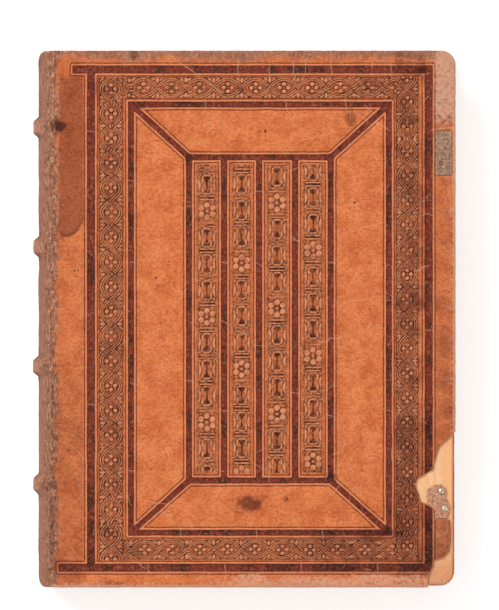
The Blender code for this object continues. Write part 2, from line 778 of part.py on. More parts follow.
def grown(outline, margin):
    """A clockwise outline moved outwards by the margin all round."""
    corners = [Vector(corner) for corner in outline]
    moved = []
    for index, corner in enumerate(corners):
        before = (corner - corners[index - 1]).normalized()
        after = (corners[(index + 1) % len(corners)] - corner).normalized()
        outward = before.orthogonal() + after.orthogonal()
        moved.append(corner + outward * margin / (1 + before.dot(after)))
    return moved


def make_tail_plate(parent):
    """The plate nailed to the bare wood near the tail, with its two nails. Returns the nails' bores and its room."""
    left = FORE - TAIL_PLATE_FROM_FORE - TAIL_PLATE_WIDTH
    tail = TAIL_PLATE_FROM_TAIL - HALF_HEIGHT
    bottom = BOARD_TOP + GAP
    top = bottom + TAIL_PLATE_THICKNESS
    outline = [(left + TAIL_PLATE_WIDTH * across, tail + TAIL_PLATE_LENGTH * up) for across, up in TAIL_PLATE_SHARES]
    mesh = prism("strap_plate_tail", outline, bottom, top)
    plate = add_piece("strap_plate_tail", mesh, brass, parent)
    bores = cutter_group("nail_bores")
    seat = top + GAP
    for number, (across, up) in enumerate(NAIL_SHARES, 1):
        place = (left + TAIL_PLATE_WIDTH * across, tail + TAIL_PLATE_LENGTH * up)
        depth = seat - NAIL_LENGTH - GAP
        bore = cylinder("bore", place, NAIL_SHANK_RADIUS + GAP, depth, seat + OVERRUN)
        add_cutter(f"nail_bore_{number}", bore, bores)
        profile = [
            (NAIL_HEAD_RADIUS * math.sin(turn), NAIL_HEAD_RISE * math.cos(turn))
            for turn in spread(0, math.pi / 2, 4)
        ]
        profile += [(NAIL_SHANK_RADIUS, 0), (NAIL_SHANK_RADIUS, NAIL_SHANK_RADIUS - NAIL_LENGTH), (0, -NAIL_LENGTH)]
        nail = turned(f"strap_nail_{number}", profile, 12, brass, parent)
        nail.location = (*place, seat)
        smooth(nail, 40)
    add_boolean(plate, bores)
    room = prism("tail_plate_room", grown(outline, GAP), BOARD_TOP, BOOK_THICKNESS + OVERRUN)
    return bores, add_cutter("tail_plate_room", room)


def make_axis(name, height):
    empty = bpy.data.objects.new(name, None)
    empty.location = (JOINT, 0, height)
    book.objects.link(empty)
    return empty


clear_scene()
book = new_collection("antique_leather_book")
cutters = new_collection("cutters")
cutters.hide_render = True

leather = new_material("leather", (0.62, 0.18, 0.07), 0.45)
wood = new_material("wood", (0.85, 0.47, 0.24), 0.7)
paper = new_material("paper", (0.78, 0.68, 0.5), 0.9)
hide = new_material("hide", (0.6, 0.5, 0.36), 0.8)
cloth = new_material("cloth", (0.6, 0.53, 0.4), 0.9)
thread = new_material("thread", (0.55, 0.42, 0.25), 0.8)
brass = new_material("brass", (0.4, 0.25, 0.13), 0.5, 0.8)

front_axis = make_axis("front_cover_axis", BOOK_THICKNESS)
back_axis = make_axis("back_cover_axis", 0)

make_text_block()
make_linings()
make_thongs()
make_endbands()
make_spine_leather()

head_recess = make_head_plate(front_axis)
nail_bores, tail_plate_room = make_tail_plate(front_axis)
front_board = make_board("front_board", FRONT, front_axis, make_slips("front", FRONT, front_axis))
add_boolean(front_board, nail_bores)
make_board("back_board", BACK, back_axis, make_slips("back", BACK, back_axis))
front_cuts = [make_fillets("front", FRONT), make_rolls(), head_recess, lost_leather(), tail_plate_room]
make_cover_leather("front_cover_leather", FRONT, front_axis, [make_swellings()], front_cuts)
make_cover_leather("back_cover_leather", BACK, back_axis, [], [make_fillets("back", BACK)])
make_pastedown("front_pastedown", FRONT, front_axis)
make_pastedown("back_pastedown", BACK, back_axis)
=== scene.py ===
import json
import math

import bmesh
import bpy
import numpy as np
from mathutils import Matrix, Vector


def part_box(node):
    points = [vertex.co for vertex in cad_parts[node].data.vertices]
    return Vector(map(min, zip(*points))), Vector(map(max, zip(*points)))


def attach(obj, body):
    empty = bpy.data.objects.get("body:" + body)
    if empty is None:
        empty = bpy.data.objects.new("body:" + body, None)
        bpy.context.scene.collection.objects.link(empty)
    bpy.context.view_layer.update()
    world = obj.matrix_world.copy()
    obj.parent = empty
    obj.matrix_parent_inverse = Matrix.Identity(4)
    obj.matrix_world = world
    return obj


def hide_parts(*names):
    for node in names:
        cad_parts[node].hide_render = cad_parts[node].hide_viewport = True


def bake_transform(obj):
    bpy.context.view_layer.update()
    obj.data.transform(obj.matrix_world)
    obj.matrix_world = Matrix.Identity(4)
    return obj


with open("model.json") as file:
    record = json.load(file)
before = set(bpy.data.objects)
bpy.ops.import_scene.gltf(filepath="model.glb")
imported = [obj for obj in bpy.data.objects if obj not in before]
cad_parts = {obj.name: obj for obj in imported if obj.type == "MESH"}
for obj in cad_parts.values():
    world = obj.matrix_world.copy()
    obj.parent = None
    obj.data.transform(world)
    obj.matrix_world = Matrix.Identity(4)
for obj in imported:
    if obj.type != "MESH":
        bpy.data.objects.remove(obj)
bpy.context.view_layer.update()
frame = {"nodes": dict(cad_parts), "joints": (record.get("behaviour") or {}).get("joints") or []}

mm = 0.001

# The book's main measures, read from the frame
hingePlaces = {joint["name"]: joint["pos_m"] for joint in frame["joints"]}
jointX, _, bookTop = hingePlaces["front_cover_hinge"]
leatherLow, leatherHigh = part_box("back_cover_leather")
pagesLow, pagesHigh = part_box("text_block")
foreX = leatherHigh[0]
halfHeight = leatherHigh[1]
coverDepth = leatherHigh[2]
spineStart = 2 * jointX - leatherLow[0]
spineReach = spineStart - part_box("spine_leather")[0][0]  # from the joint to the top of a band
middleZ = bookTop / 2

# How the photograph maps on to the book
photo = {"width": 499, "height": 610, "middleAcross": 243.5, "middleDown": 318.5, "bookHeight": 537.0}
pixel = 2 * halfHeight / photo["bookHeight"]


def fromPhoto(across, down):
    return (across - photo["middleAcross"]) * pixel, (photo["middleDown"] - down) * pixel


def acrossPhoto(x):
    return x / pixel + photo["middleAcross"]


def downPhoto(y):
    return photo["middleDown"] - y / pixel


def smoothStep(low, high, value):
    share = np.clip((value - low) / (high - low), 0, 1)
    return share * share * (3 - 2 * share)


def bell(value, width):
    return np.exp(-((value / width) ** 2))


def blendTo(first, second, share):
    return first + (second - first) * share


def valueNoise(across, along, size, seed):
    # smooth noise from -1 to 1, with cells of the given size
    table = np.random.default_rng(seed).uniform(-1, 1, (64, 64))
    p, q = across / size, along / size
    i, j = np.floor(p).astype(int), np.floor(q).astype(int)
    f, g = p - i, q - j
    f, g = f * f * (3 - 2 * f), g * g * (3 - 2 * g)
    low = table[i % 64, j % 64] * (1 - f) + table[(i + 1) % 64, j % 64] * f
    high = table[i % 64, (j + 1) % 64] * (1 - f) + table[(i + 1) % 64, (j + 1) % 64] * f
    return low * (1 - g) + high * g


def fractalNoise(across, along, size, seed, octaves=3):
    total = 0
    for octave in range(octaves):
        total = total + valueNoise(across, along, size / 2 ** octave, seed + octave) / 2 ** octave
    return total / 1.6


# Places beside straight segments
def besideSegment(x, y, start, end):
    # each place's distance from the segment and off its line, how far along it lies, and the segment's length
    length = math.hypot(end[0] - start[0], end[1] - start[1])
    runX, runY = (end[0] - start[0]) / length, (end[1] - start[1]) / length
    travelled = (x - start[0]) * runX + (y - start[1]) * runY
    off = (x - start[0]) * runY - (y - start[1]) * runX
    held = np.clip(travelled, 0, length)
    gap = np.hypot(x - start[0] - runX * held, y - start[1] - runY * held)
    return gap, off, travelled, length


# Node helpers
def fillNode(tree, node, inputs):
    for key, value in inputs.items():
        if isinstance(value, bpy.types.NodeSocket):
            tree.links.new(value, node.inputs[key])
        else:
            node.inputs[key].default_value = value
    return node


def addNode(tree, kind, inputs=None, **settings):
    node = tree.nodes.new("ShaderNode" + kind)
    for name, value in settings.items():
        setattr(node, name, value)
    return fillNode(tree, node, inputs or {})


def calc(tree, operation, first, second=0.0, third=0.0):
    return addNode(tree, "Math", {0: first, 1: second, 2: third}, operation=operation).outputs[0]


def times(tree, first, second):
    return calc(tree, "MULTIPLY", first, second)


def scaled(tree, value, factor, start):
    return calc(tree, "MULTIPLY_ADD", value, factor, start)


def offBy(tree, value, middle):
    return calc(tree, "ABSOLUTE", calc(tree, "SUBTRACT", value, middle))


def strongest(tree, first, *others):
    for other in others:
        first = calc(tree, "MAXIMUM", first, other)
    return first


def stretch(tree, place, factors):
    return addNode(tree, "VectorMath", {0: place, 1: factors}, operation="MULTIPLY").outputs[0]


def shifted(tree, place, way, reach):
    return addNode(tree, "VectorMath", {0: way, 1: reach, 2: place}, operation="MULTIPLY_ADD").outputs[0]


def mixTone(tree, share, first, second, mode="MIX"):
    inputs = {0: share, 6: first, 7: second}
    return addNode(tree, "Mix", inputs, data_type="RGBA", blend_type=mode).outputs[2]


def paint(tree, colour, *layers):
    # lay each tone over the colour, by its mask and strength
    for tint, share, strength in layers:
        colour = mixTone(tree, times(tree, share, strength), colour, tint)
    return colour


def mask(tree, value, low, high):
    inputs = {"Value": value, "From Min": low, "From Max": high}
    return addNode(tree, "MapRange", inputs, interpolation_type="SMOOTHSTEP").outputs[0]


def noise(tree, place, scale, detail=3.0, roughness=0.55, output="Fac"):
    inputs = {"Vector": place, "Scale": scale, "Detail": detail, "Roughness": roughness}
    return addNode(tree, "TexNoise", inputs).outputs[output]


def attribute(tree, name, output="Fac"):
    return addNode(tree, "Attribute", attribute_name=name).outputs[output]


def tone(red, green, blue):
    # a colour read on the photograph's 0 to 255 scale
    parts = [part / 255 for part in (red, green, blue)]
    return (*[part / 12.92 if part <= 0.04045 else ((part + 0.055) / 1.055) ** 2.4 for part in parts], 1)


def newMaterial(name):
    material = bpy.data.materials.new(name)
    material.use_nodes = True
    return material, material.node_tree, material.node_tree.nodes["Principled BSDF"]


def bumped(tree, height, distance, strength):
    inputs = {"Height": height, "Distance": distance, "Strength": strength}
    return addNode(tree, "Bump", inputs).outputs[0]


# Effects that several materials share; their coordinates are in millimetres on the flat piece
def newEffect(build, **inputs):
    # a node group that turns a place and some numbers into masks and heights
    tree = bpy.data.node_groups.new(build.__name__, "ShaderNodeTree")
    for label, value in {"Place": (0, 0, 0), **inputs}.items():
        kind = "NodeSocketFloat" if isinstance(value, float) else "NodeSocketVector"
        tree.interface.new_socket(name=label, in_out="INPUT", socket_type=kind).default_value = value
    inward = tree.nodes.new("NodeGroupInput").outputs
    results = build(tree, *[inward[label] for label in ("Place", *inputs)])
    for label in results:
        tree.interface.new_socket(name=label, in_out="OUTPUT", socket_type="NodeSocketFloat")
    outward = tree.nodes.new("NodeGroupOutput").inputs
    for label, value in results.items():
        tree.links.new(value, outward[label])
    return tree


def useEffect(tree, effect, place, **inputs):
    return fillNode(tree, addNode(tree, "Group", node_tree=effect), {"Place": place, **inputs}).outputs


def leatherGrain(tree, place, poreSize, crinkleSize):
    poreScale = calc(tree, "DIVIDE", 1.0, poreSize)
    crinkleScale = calc(tree, "DIVIDE", 1.0, crinkleSize)
    wander = noise(tree, place, crinkleScale, 2, output="Color")
    wandered = shifted(tree, place, wander, (0.9, 0.9, 0.9))
    pores = addNode(tree, "TexVoronoi", {"Vector": wandered, "Scale": poreScale}, feature="SMOOTH_F1")
    crinkles = noise(tree, place, crinkleScale, 5, 0.62)
    fine = noise(tree, place, times(tree, poreScale, 0.8), 2, 0.7)
    return {
        "Height": scaled(tree, pores.outputs["Distance"], 0.55, times(tree, crinkles, 0.9)),
        "Mottle": noise(tree, place, 0.085, 6, 0.62),
        "Specks": mask(tree, fine, 0.56, 0.72),
    }


def wornPatches(tree, place, amount, size):
    ragged = calc(tree, "SUBTRACT", noise(tree, place, calc(tree, "DIVIDE", 1.0, size), 6, 0.68), 0.5)
    level = scaled(tree, ragged, 1.5, amount)
    return {"Mask": times(tree, mask(tree, level, 0.35, 0.75), mask(tree, amount, 0.02, 0.18))}


def settledGrime(tree, place, size, cover):
    level = noise(tree, place, calc(tree, "DIVIDE", 1.0, size), 5, 0.6)
    level = calc(tree, "ADD", level, calc(tree, "SUBTRACT", cover, 0.5))
    return {"Mask": mask(tree, level, 0.42, 0.62)}


def finePatina(tree, place, size):
    scale = calc(tree, "DIVIDE", 1.0, size)
    broad = mask(tree, noise(tree, place, 0.07, 3, 0.6), 0.34, 0.62)
    pits = mask(tree, noise(tree, stretch(tree, place, (0.7, 1.0, 1.0)), scale, 4, 0.8), 0.50, 0.61)
    pits = times(tree, pits, scaled(tree, broad, 0.4, 0.6))
    scuffs = mask(tree, noise(tree, stretch(tree, place, (1.0, 0.75, 1.3)), scale, 5, 0.8), 0.52, 0.63)
    scuffs = times(tree, scuffs, scaled(tree, broad, -0.35, 1.0))
    return {"Pits": pits, "Scuffs": scuffs, "Height": calc(tree, "SUBTRACT", scuffs, pits)}


def roundSpot(tree, place, centre, size):
    gap = addNode(tree, "VectorMath", {0: place, 1: centre}, operation="DISTANCE").outputs["Value"]
    return {"Mask": mask(tree, gap, size, times(tree, size, 0.55))}


def woodFigure(tree, place, spacing):
    drawn = stretch(tree, place, (1.0, 0.07, 1.0))
    bent = shifted(tree, drawn, noise(tree, drawn, 0.12, 3, output="Color"), (7, 7, 7))
    inputs = {"Vector": bent, "Scale": calc(tree, "DIVIDE", 0.5, spacing), "Distortion": 3.0, "Detail": 3.0}
    rings = addNode(tree, "TexWave", inputs).outputs["Fac"]
    pores = noise(tree, stretch(tree, place, (3.2, 0.14, 3.2)), 1.0, 3, 0.7)
    return {"Rings": rings, "Pores": mask(tree, pores, 0.5, 0.7)}


def paperFibre(tree, place, size):
    spots = addNode(tree, "TexVoronoi", {"Vector": place, "Scale": 0.11, "Randomness": 1.0})
    level = calc(tree, "ADD", spots.outputs["Distance"], times(tree, noise(tree, place, 0.8), 0.25))
    fibres = noise(tree, place, calc(tree, "DIVIDE", 1.0, size), 4, 0.7)
    return {"Fibres": fibres, "Foxing": mask(tree, level, 0.30, 0.18)}


grainEffect = newEffect(leatherGrain, poreSize=0.6, crinkleSize=2.5)
wearEffect = newEffect(wornPatches, amount=0.0, size=2.0)
grimeEffect = newEffect(settledGrime, size=8.0, cover=0.4)
patinaEffect = newEffect(finePatina, size=1.0)
spotEffect = newEffect(roundSpot, centre=(0, 0, 0), size=0.6)
figureEffect = newEffect(woodFigure, spacing=4.0)
fibreEffect = newEffect(paperFibre, size=0.5)
print("effects ready")


# Mesh helpers
def addObject(name, mesh, materials):
    piece = bpy.data.objects.new(name, mesh)
    bpy.context.scene.collection.objects.link(piece)
    for material in materials:
        mesh.materials.append(material)
    return piece


def meshFrom(name, points, faces, fields=None, smoothShaded=True):
    mesh = bpy.data.meshes.new(name)
    mesh.from_pydata(np.asarray(points).reshape(-1, 3).tolist(), [], np.asarray(faces).tolist())
    mesh.polygons.foreach_set("use_smooth", np.full(len(mesh.polygons), smoothShaded))
    for label, values in (fields or {}).items():
        values = np.asarray(values, dtype=np.float32)
        if values.ndim == 2:
            mesh.attributes.new(label, "FLOAT_VECTOR", "POINT").data.foreach_set("vector", values.ravel())
        else:
            mesh.attributes.new(label, "FLOAT", "POINT").data.foreach_set("value", values)
    mesh.update()
    return mesh


def gridFaces(across, along, flip=False, start=0):
    index = start + np.arange(across * along).reshape(across, along)
    corners = [index[:-1, :-1], index[1:, :-1], index[1:, 1:], index[:-1, 1:]]
    if flip:
        corners.reverse()
    return np.stack([corner.ravel() for corner in corners], axis=1)


def gridLines(low, high, fixed, zones, plain):
    # lines from low to high, through the fixed ones, closer together inside the zones
    marks = [low] + sorted(mark for mark in set(fixed) if low + 0.05 * mm < mark < high - 0.05 * mm) + [high]
    lines = [low]
    for first, second in zip(marks, marks[1:]):
        middle = (first + second) / 2
        spacing = min([step for start, end, step in zones if start <= middle <= end] or [plain])
        pieces = max(1, round((second - first) / spacing))
        lines += [first + (second - first) * piece / pieces for piece in range(1, pieces + 1)]
    return np.array(lines)


def cleanMesh(mesh, weld=None, slivers=None, outward=False, sharpAngle=None):
    # join points closer than weld, drop loose points and slivers, turn faces outward, mark sharp edges
    form = bmesh.new()
    form.from_mesh(mesh)
    if weld:
        bmesh.ops.remove_doubles(form, verts=form.verts, dist=weld)
    if slivers:
        loose = [vertex for vertex in form.verts if not vertex.link_faces]
        bmesh.ops.delete(form, geom=loose, context="VERTS")
        bmesh.ops.dissolve_degenerate(form, edges=form.edges, dist=slivers)
    if outward:
        bmesh.ops.recalc_face_normals(form, faces=form.faces)
    form.to_mesh(mesh)
    form.free()
    if sharpAngle:
        mesh.set_sharp_from_angle(angle=math.radians(sharpAngle))


# Raised bands and the spine's form
bands = {
    "down": (126.3, 246.0, 365.8, 483.9),
    "rise": 3.2 * mm,
    "base": 13.5 * mm,
    "swelling": 1.5 * mm,
    "swellingStart": -7 * mm,  # from the joint
    "swellingFull": 1 * mm,
    "swellingFade": 4 * mm,
    "swellingEnd": 12.5 * mm,
}
bandPlaces = [fromPhoto(0, down)[1] for down in bands["down"]]
spineRound = spineReach - bands["rise"]


def bandForm(along, base=bands["base"], plateau=0.45):
    total = np.zeros_like(along)
    for place in bandPlaces:
        total = np.maximum(total, smoothStep(1.0, plateau, np.abs(along - place) / (base / 2)))
    return total


def bandSwelling(across, along):
    # the bands running on to the boards, over the slips
    out = across - jointX
    rising = smoothStep(bands["swellingStart"], bands["swellingFull"], out)
    fading = 1 - smoothStep(bands["swellingFade"], bands["swellingEnd"], out)
    return bands["swelling"] * rising * fading * bandForm(along, bands["base"] * 0.95, 0.3)


# Tooled lines, in the photograph's pixels; widths in millimetres
toolLines = {
    "outer": {"left": 90.5, "right": 428.2, "head": 69.0, "tail": 567.2, "half": 2.25},
    "inner": {"left": 130.5, "right": 388.4, "head": 104.0, "tail": 532.2, "half": 1.65},
    "panel": {"left": 188.5, "right": 330.2, "head": 156.8, "tail": 480.0, "half": 1.65},
    "headRun": 14.5,  # how far the outer lines run on towards the joint
    "tailRun": 28.5,
    "bars": (223.6, 258.6, 294.6),
    "barHalf": 1.75,
    "slantHalf": 1.55,
    "depth": 0.42,
    "ridgeAt": 0.62,
    "ridgeWidth": 0.34,
    "ridgeRise": 0.14,
    "thinAt": 1.52,
    "thinWidth": 0.33,
    "thinDepth": 0.26,
    "waver": 0.17,
    "waverLength": 9.0,
}


def lineList():
    # each pressed line's two ends and half width
    lines = []
    for name in ("outer", "inner", "panel"):
        left, right, head, tail, half = toolLines[name].values()
        headRun, tailRun = (toolLines["headRun"], toolLines["tailRun"]) if name == "outer" else (0, 0)
        reach = half * mm / pixel
        lines.append((left, head - reach, left, tail + reach, half))
        lines.append((right, head - reach, right, tail + reach, half))
        lines.append((left - headRun - reach, head, right + reach, head, half))
        lines.append((left - tailRun - reach, tail, right + reach, tail, half))
    inner, panel = toolLines["inner"], toolLines["panel"]
    for bar in toolLines["bars"]:
        lines.append((bar, panel["head"], bar, panel["tail"], toolLines["barHalf"]))
    for side in ("left", "right"):
        for end in ("head", "tail"):
            lines.append((inner[side], inner[end], panel[side], panel[end], toolLines["slantHalf"]))
    return lines


def lineFields(across, along):
    # signed distance to the nearest pressed line, in millimetres, and how dark that line is there
    nearest = np.full(across.shape, 99.0)
    darkness = np.zeros(across.shape)
    for number, (startAcross, startDown, endAcross, endDown, half) in enumerate(lineList()):
        start = [value / mm for value in fromPhoto(startAcross, startDown)]
        end = [value / mm for value in fromPhoto(endAcross, endDown)]
        _, off, travelled, length = besideSegment(across, along, start, end)
        out = np.abs(off) - half
        beyond = np.abs(travelled - length / 2) - length / 2
        outside = np.hypot(np.maximum(out, 0), np.maximum(beyond, 0))
        distance = np.where((out < 0) & (beyond < 0), np.maximum(out, beyond), outside)
        waver = fractalNoise(travelled, out * 0.1 + number * 7.3, toolLines["waverLength"], 11)
        distance = distance + toolLines["waver"] * waver
        patches = valueNoise(travelled, out * 0.25 + number * 5.7, 5.6, 23) * 0.8
        patches = patches + valueNoise(travelled, out * 0.25 + number * 3.1, 15.0, 29) * 0.5
        darkness = np.where(distance < nearest, smoothStep(-0.35, 0.95, patches), darkness)
        nearest = np.minimum(nearest, distance)
    return nearest, darkness


# Ornamental rolls, in the photograph's pixels
flowerRolls = [  # middle, half width, a flower's place and the pitch; first the upright ones, then the others
    (110.6, 12.6, 286.3, 24.75), (406.8, 11.6, 298.6, 24.7),
    (87.2, 11.2, 143.0, 28.1), (549.2, 10.4, 117.0, 27.5),
]
balusterRolls = [  # middle, half width and a rosette's place
    (206.4, 10.8, 210.7), (241.2, 10.6, 262.7), (276.6, 11.0, 202.3), (312.6, 11.0, 249.7),
]
rollReach = {"upright": (76.0, 560.0), "lying": (123.0, 396.0), "baluster": (164.0, 473.0)}
rollLook = {
    "rosettePitch": 105.6, "waver": 0.24, "waverLength": 5.0,
    "flowerLength": 14.5, "flowerHalf": 6.9, "balusterHalf": 6.2,  # the motifs' own sizes in millimetres
}


def rollStrips():
    for number, (middle, half, first, pitch) in enumerate(flowerRolls):
        upright = number < 2
        yield "flower", upright, middle, half, first, pitch, rollReach["upright" if upright else "lying"]
    for middle, half, first in balusterRolls:
        yield "baluster", True, middle, half, first, rollLook["rosettePitch"], rollReach["baluster"]


def circleAt(u, v, middleU, middleV, radius):
    return np.hypot(u - middleU, v - middleV) - radius


def ringAt(u, v, middleU, middleV, radius, half):
    return np.abs(circleAt(u, v, middleU, middleV, radius)) - half


def lensAt(u, v, middleU, middleV, halfLength, halfWidth):
    # a pointed leaf along u, from two arcs
    radius = (halfLength ** 2 + halfWidth ** 2) / (2 * halfWidth)
    offset = radius - halfWidth
    return np.hypot(u - middleU, np.abs(v - middleV) + offset) - radius


def leafAt(u, v, start, end, halfWidth):
    # a pointed leaf from one place to another
    _, off, travelled, length = besideSegment(u, v, start, end)
    return lensAt(travelled - length / 2, off, 0, 0, length / 2, halfWidth)


def outlined(shape, gap=0.3, half=0.2):
    return np.abs(shape - gap) - half


def flowerMotif(u, v, period):
    # a four-petalled flower between two ribbed bands that cross on both sides of it, leaves outside them
    number = np.floor(u / period + 0.5)
    u = u - number * period
    length, side = np.abs(u), np.abs(v)
    petals = np.minimum(circleAt(length, v, 2.2, 0, 1.1), circleAt(u, side, 0, 2.2, 1.1))
    leaves = leafAt(length, side, (7.2, 2.9), (7.2, 6.4), 0.62)
    leaves = np.minimum(leaves, leafAt(length, side, (6.3, 4.0), (4.1, 6.4), 0.55))
    raised = np.minimum(petals, leaves)
    pressed = np.minimum(outlined(petals, 0.34, 0.28), outlined(leaves, 0.26, 0.2))
    turn = np.cos(math.pi * u / period)
    wave = 5.2 * np.sign(turn) * np.abs(turn) ** 0.85
    slope = np.sqrt(1 + (5.0 * math.pi / period * np.sin(math.pi * u / period)) ** 2)
    over = np.where((number % 2 == 0) == (u > 0), 1, -1)
    for way in (-over, over):
        band = np.abs(v - way * wave) / slope
        pressed = np.where(band < 1.5, 9, pressed)
        raised = np.where(band < 1.3, 9, raised)
        raised = np.minimum(raised, np.abs(band - 0.62) - 0.27)
        pressed = np.minimum(pressed, np.minimum(band - 0.24, np.abs(band - 1.25) - 0.28))
    corner = np.maximum(6.0 - side, 2.6 - length)
    return np.minimum(pressed, np.maximum(corner + 0.5, 4.6 - side)), raised


def rosette(u, v):
    length, side = np.abs(u), np.abs(v)
    petals = circleAt(u, v, 0, 0, 0.8)
    for petal in range(6):
        turn = math.pi * petal / 3
        petals = np.minimum(petals, circleAt(u, v, 3.7 * math.cos(turn), 3.8 * math.sin(turn), 1.62))
    around = np.hypot(u, v)
    pressed = np.where(around < 5.9, outlined(petals, 0.34, 0.25), 9)
    bar = np.maximum(np.abs(length - 6.75) - 0.36, side - 4.4)
    raised = np.minimum(petals, bar)
    pressed = np.minimum(pressed, np.maximum(outlined(bar, 0.3, 0.2), side - 4.8))
    return np.minimum(pressed, ringAt(length, side, 5.0, 5.2, 0.9, 0.22)), raised


def baluster(u, v):
    # a waisted stem with a wedge at each end in a looped band, between leaves and closed by bars
    length, side = np.abs(u), np.abs(v)
    loop = 3.0 - 0.5 * np.clip(1 - (length / 4.3) ** 2, 0, 1)
    band = np.hypot(np.maximum(length - 2.7, 0), v) - loop
    leaves = lensAt(u, side - 0.05 * u ** 2, 0, 4.0, 4.2, 0.7)
    curls = ringAt(length, side, 5.0, 4.9, 0.8, 0.24)
    bar = np.maximum(np.abs(length - 6.75) - 0.34, side - 4.4)
    wedge = np.maximum(side - (0.4 + (length - 1.8) * 0.62), np.abs(length - 3.3) - 1.5)
    stem = np.maximum(side - 0.42, length - 3.0)
    arcs = np.maximum(np.abs(band) - 0.36, 1.3 - length)
    raised = np.minimum(np.minimum(arcs, leaves), np.minimum(curls, bar))
    pressed = np.minimum(np.minimum(wedge, stem), np.maximum(np.abs(band - 0.68) - 0.22, 1.3 - length))
    pressed = np.minimum(pressed, outlined(leaves, 0.24, 0.18))
    pressed = np.minimum(pressed, np.maximum(outlined(bar, 0.3, 0.24), side - 4.8))
    return np.minimum(pressed, circleAt(length, side, 5.0, 4.9, 0.36)), raised


def balusterMotif(u, v, period):
    # a rosette and then three balusters in each period
    unit = period / 4
    number = np.floor(u / unit + 0.5)
    local = u - number * unit
    return [np.where(number % 4 == 0, *both) for both in zip(rosette(local, v), baluster(local, v))]


def rollFields(across, along):
    # in millimetres: pressed and raised distances of the ornament, and a mask of the strips
    pressed = np.full(across.shape, 9.0)
    raised = np.full(across.shape, 9.0)
    inside = np.zeros(across.shape)
    size = pixel / mm
    photoAcross, photoDown = acrossPhoto(across * mm), downPhoto(along * mm)
    waverU, waverV = (
        rollLook["waver"] * fractalNoise(across, along, rollLook["waverLength"], seed) for seed in (41, 43))
    for kind, upright, middle, half, first, pitch, (start, end) in rollStrips():
        run, off = (photoDown, photoAcross) if upright else (photoAcross, photoDown)
        u = (run - first) * size + waverU
        v = (off - middle) / half * rollLook[kind + "Half"] + waverV
        if kind == "flower":
            length = rollLook["flowerLength"]
            dips, rises = flowerMotif(u * length / (pitch * size), v, length)
        else:
            dips, rises = balusterMotif(u, v, pitch * size)
        edgeGap = np.minimum(half - np.abs(off - middle), np.minimum(run - start, end - run))
        here = smoothStep(-0.4, 0.6, edgeGap * size)
        chosen = here > inside
        pressed = np.where(chosen, dips, pressed)
        raised = np.where(chosen, rises, raised)
        inside = np.maximum(inside, here)
    return pressed, raised, inside
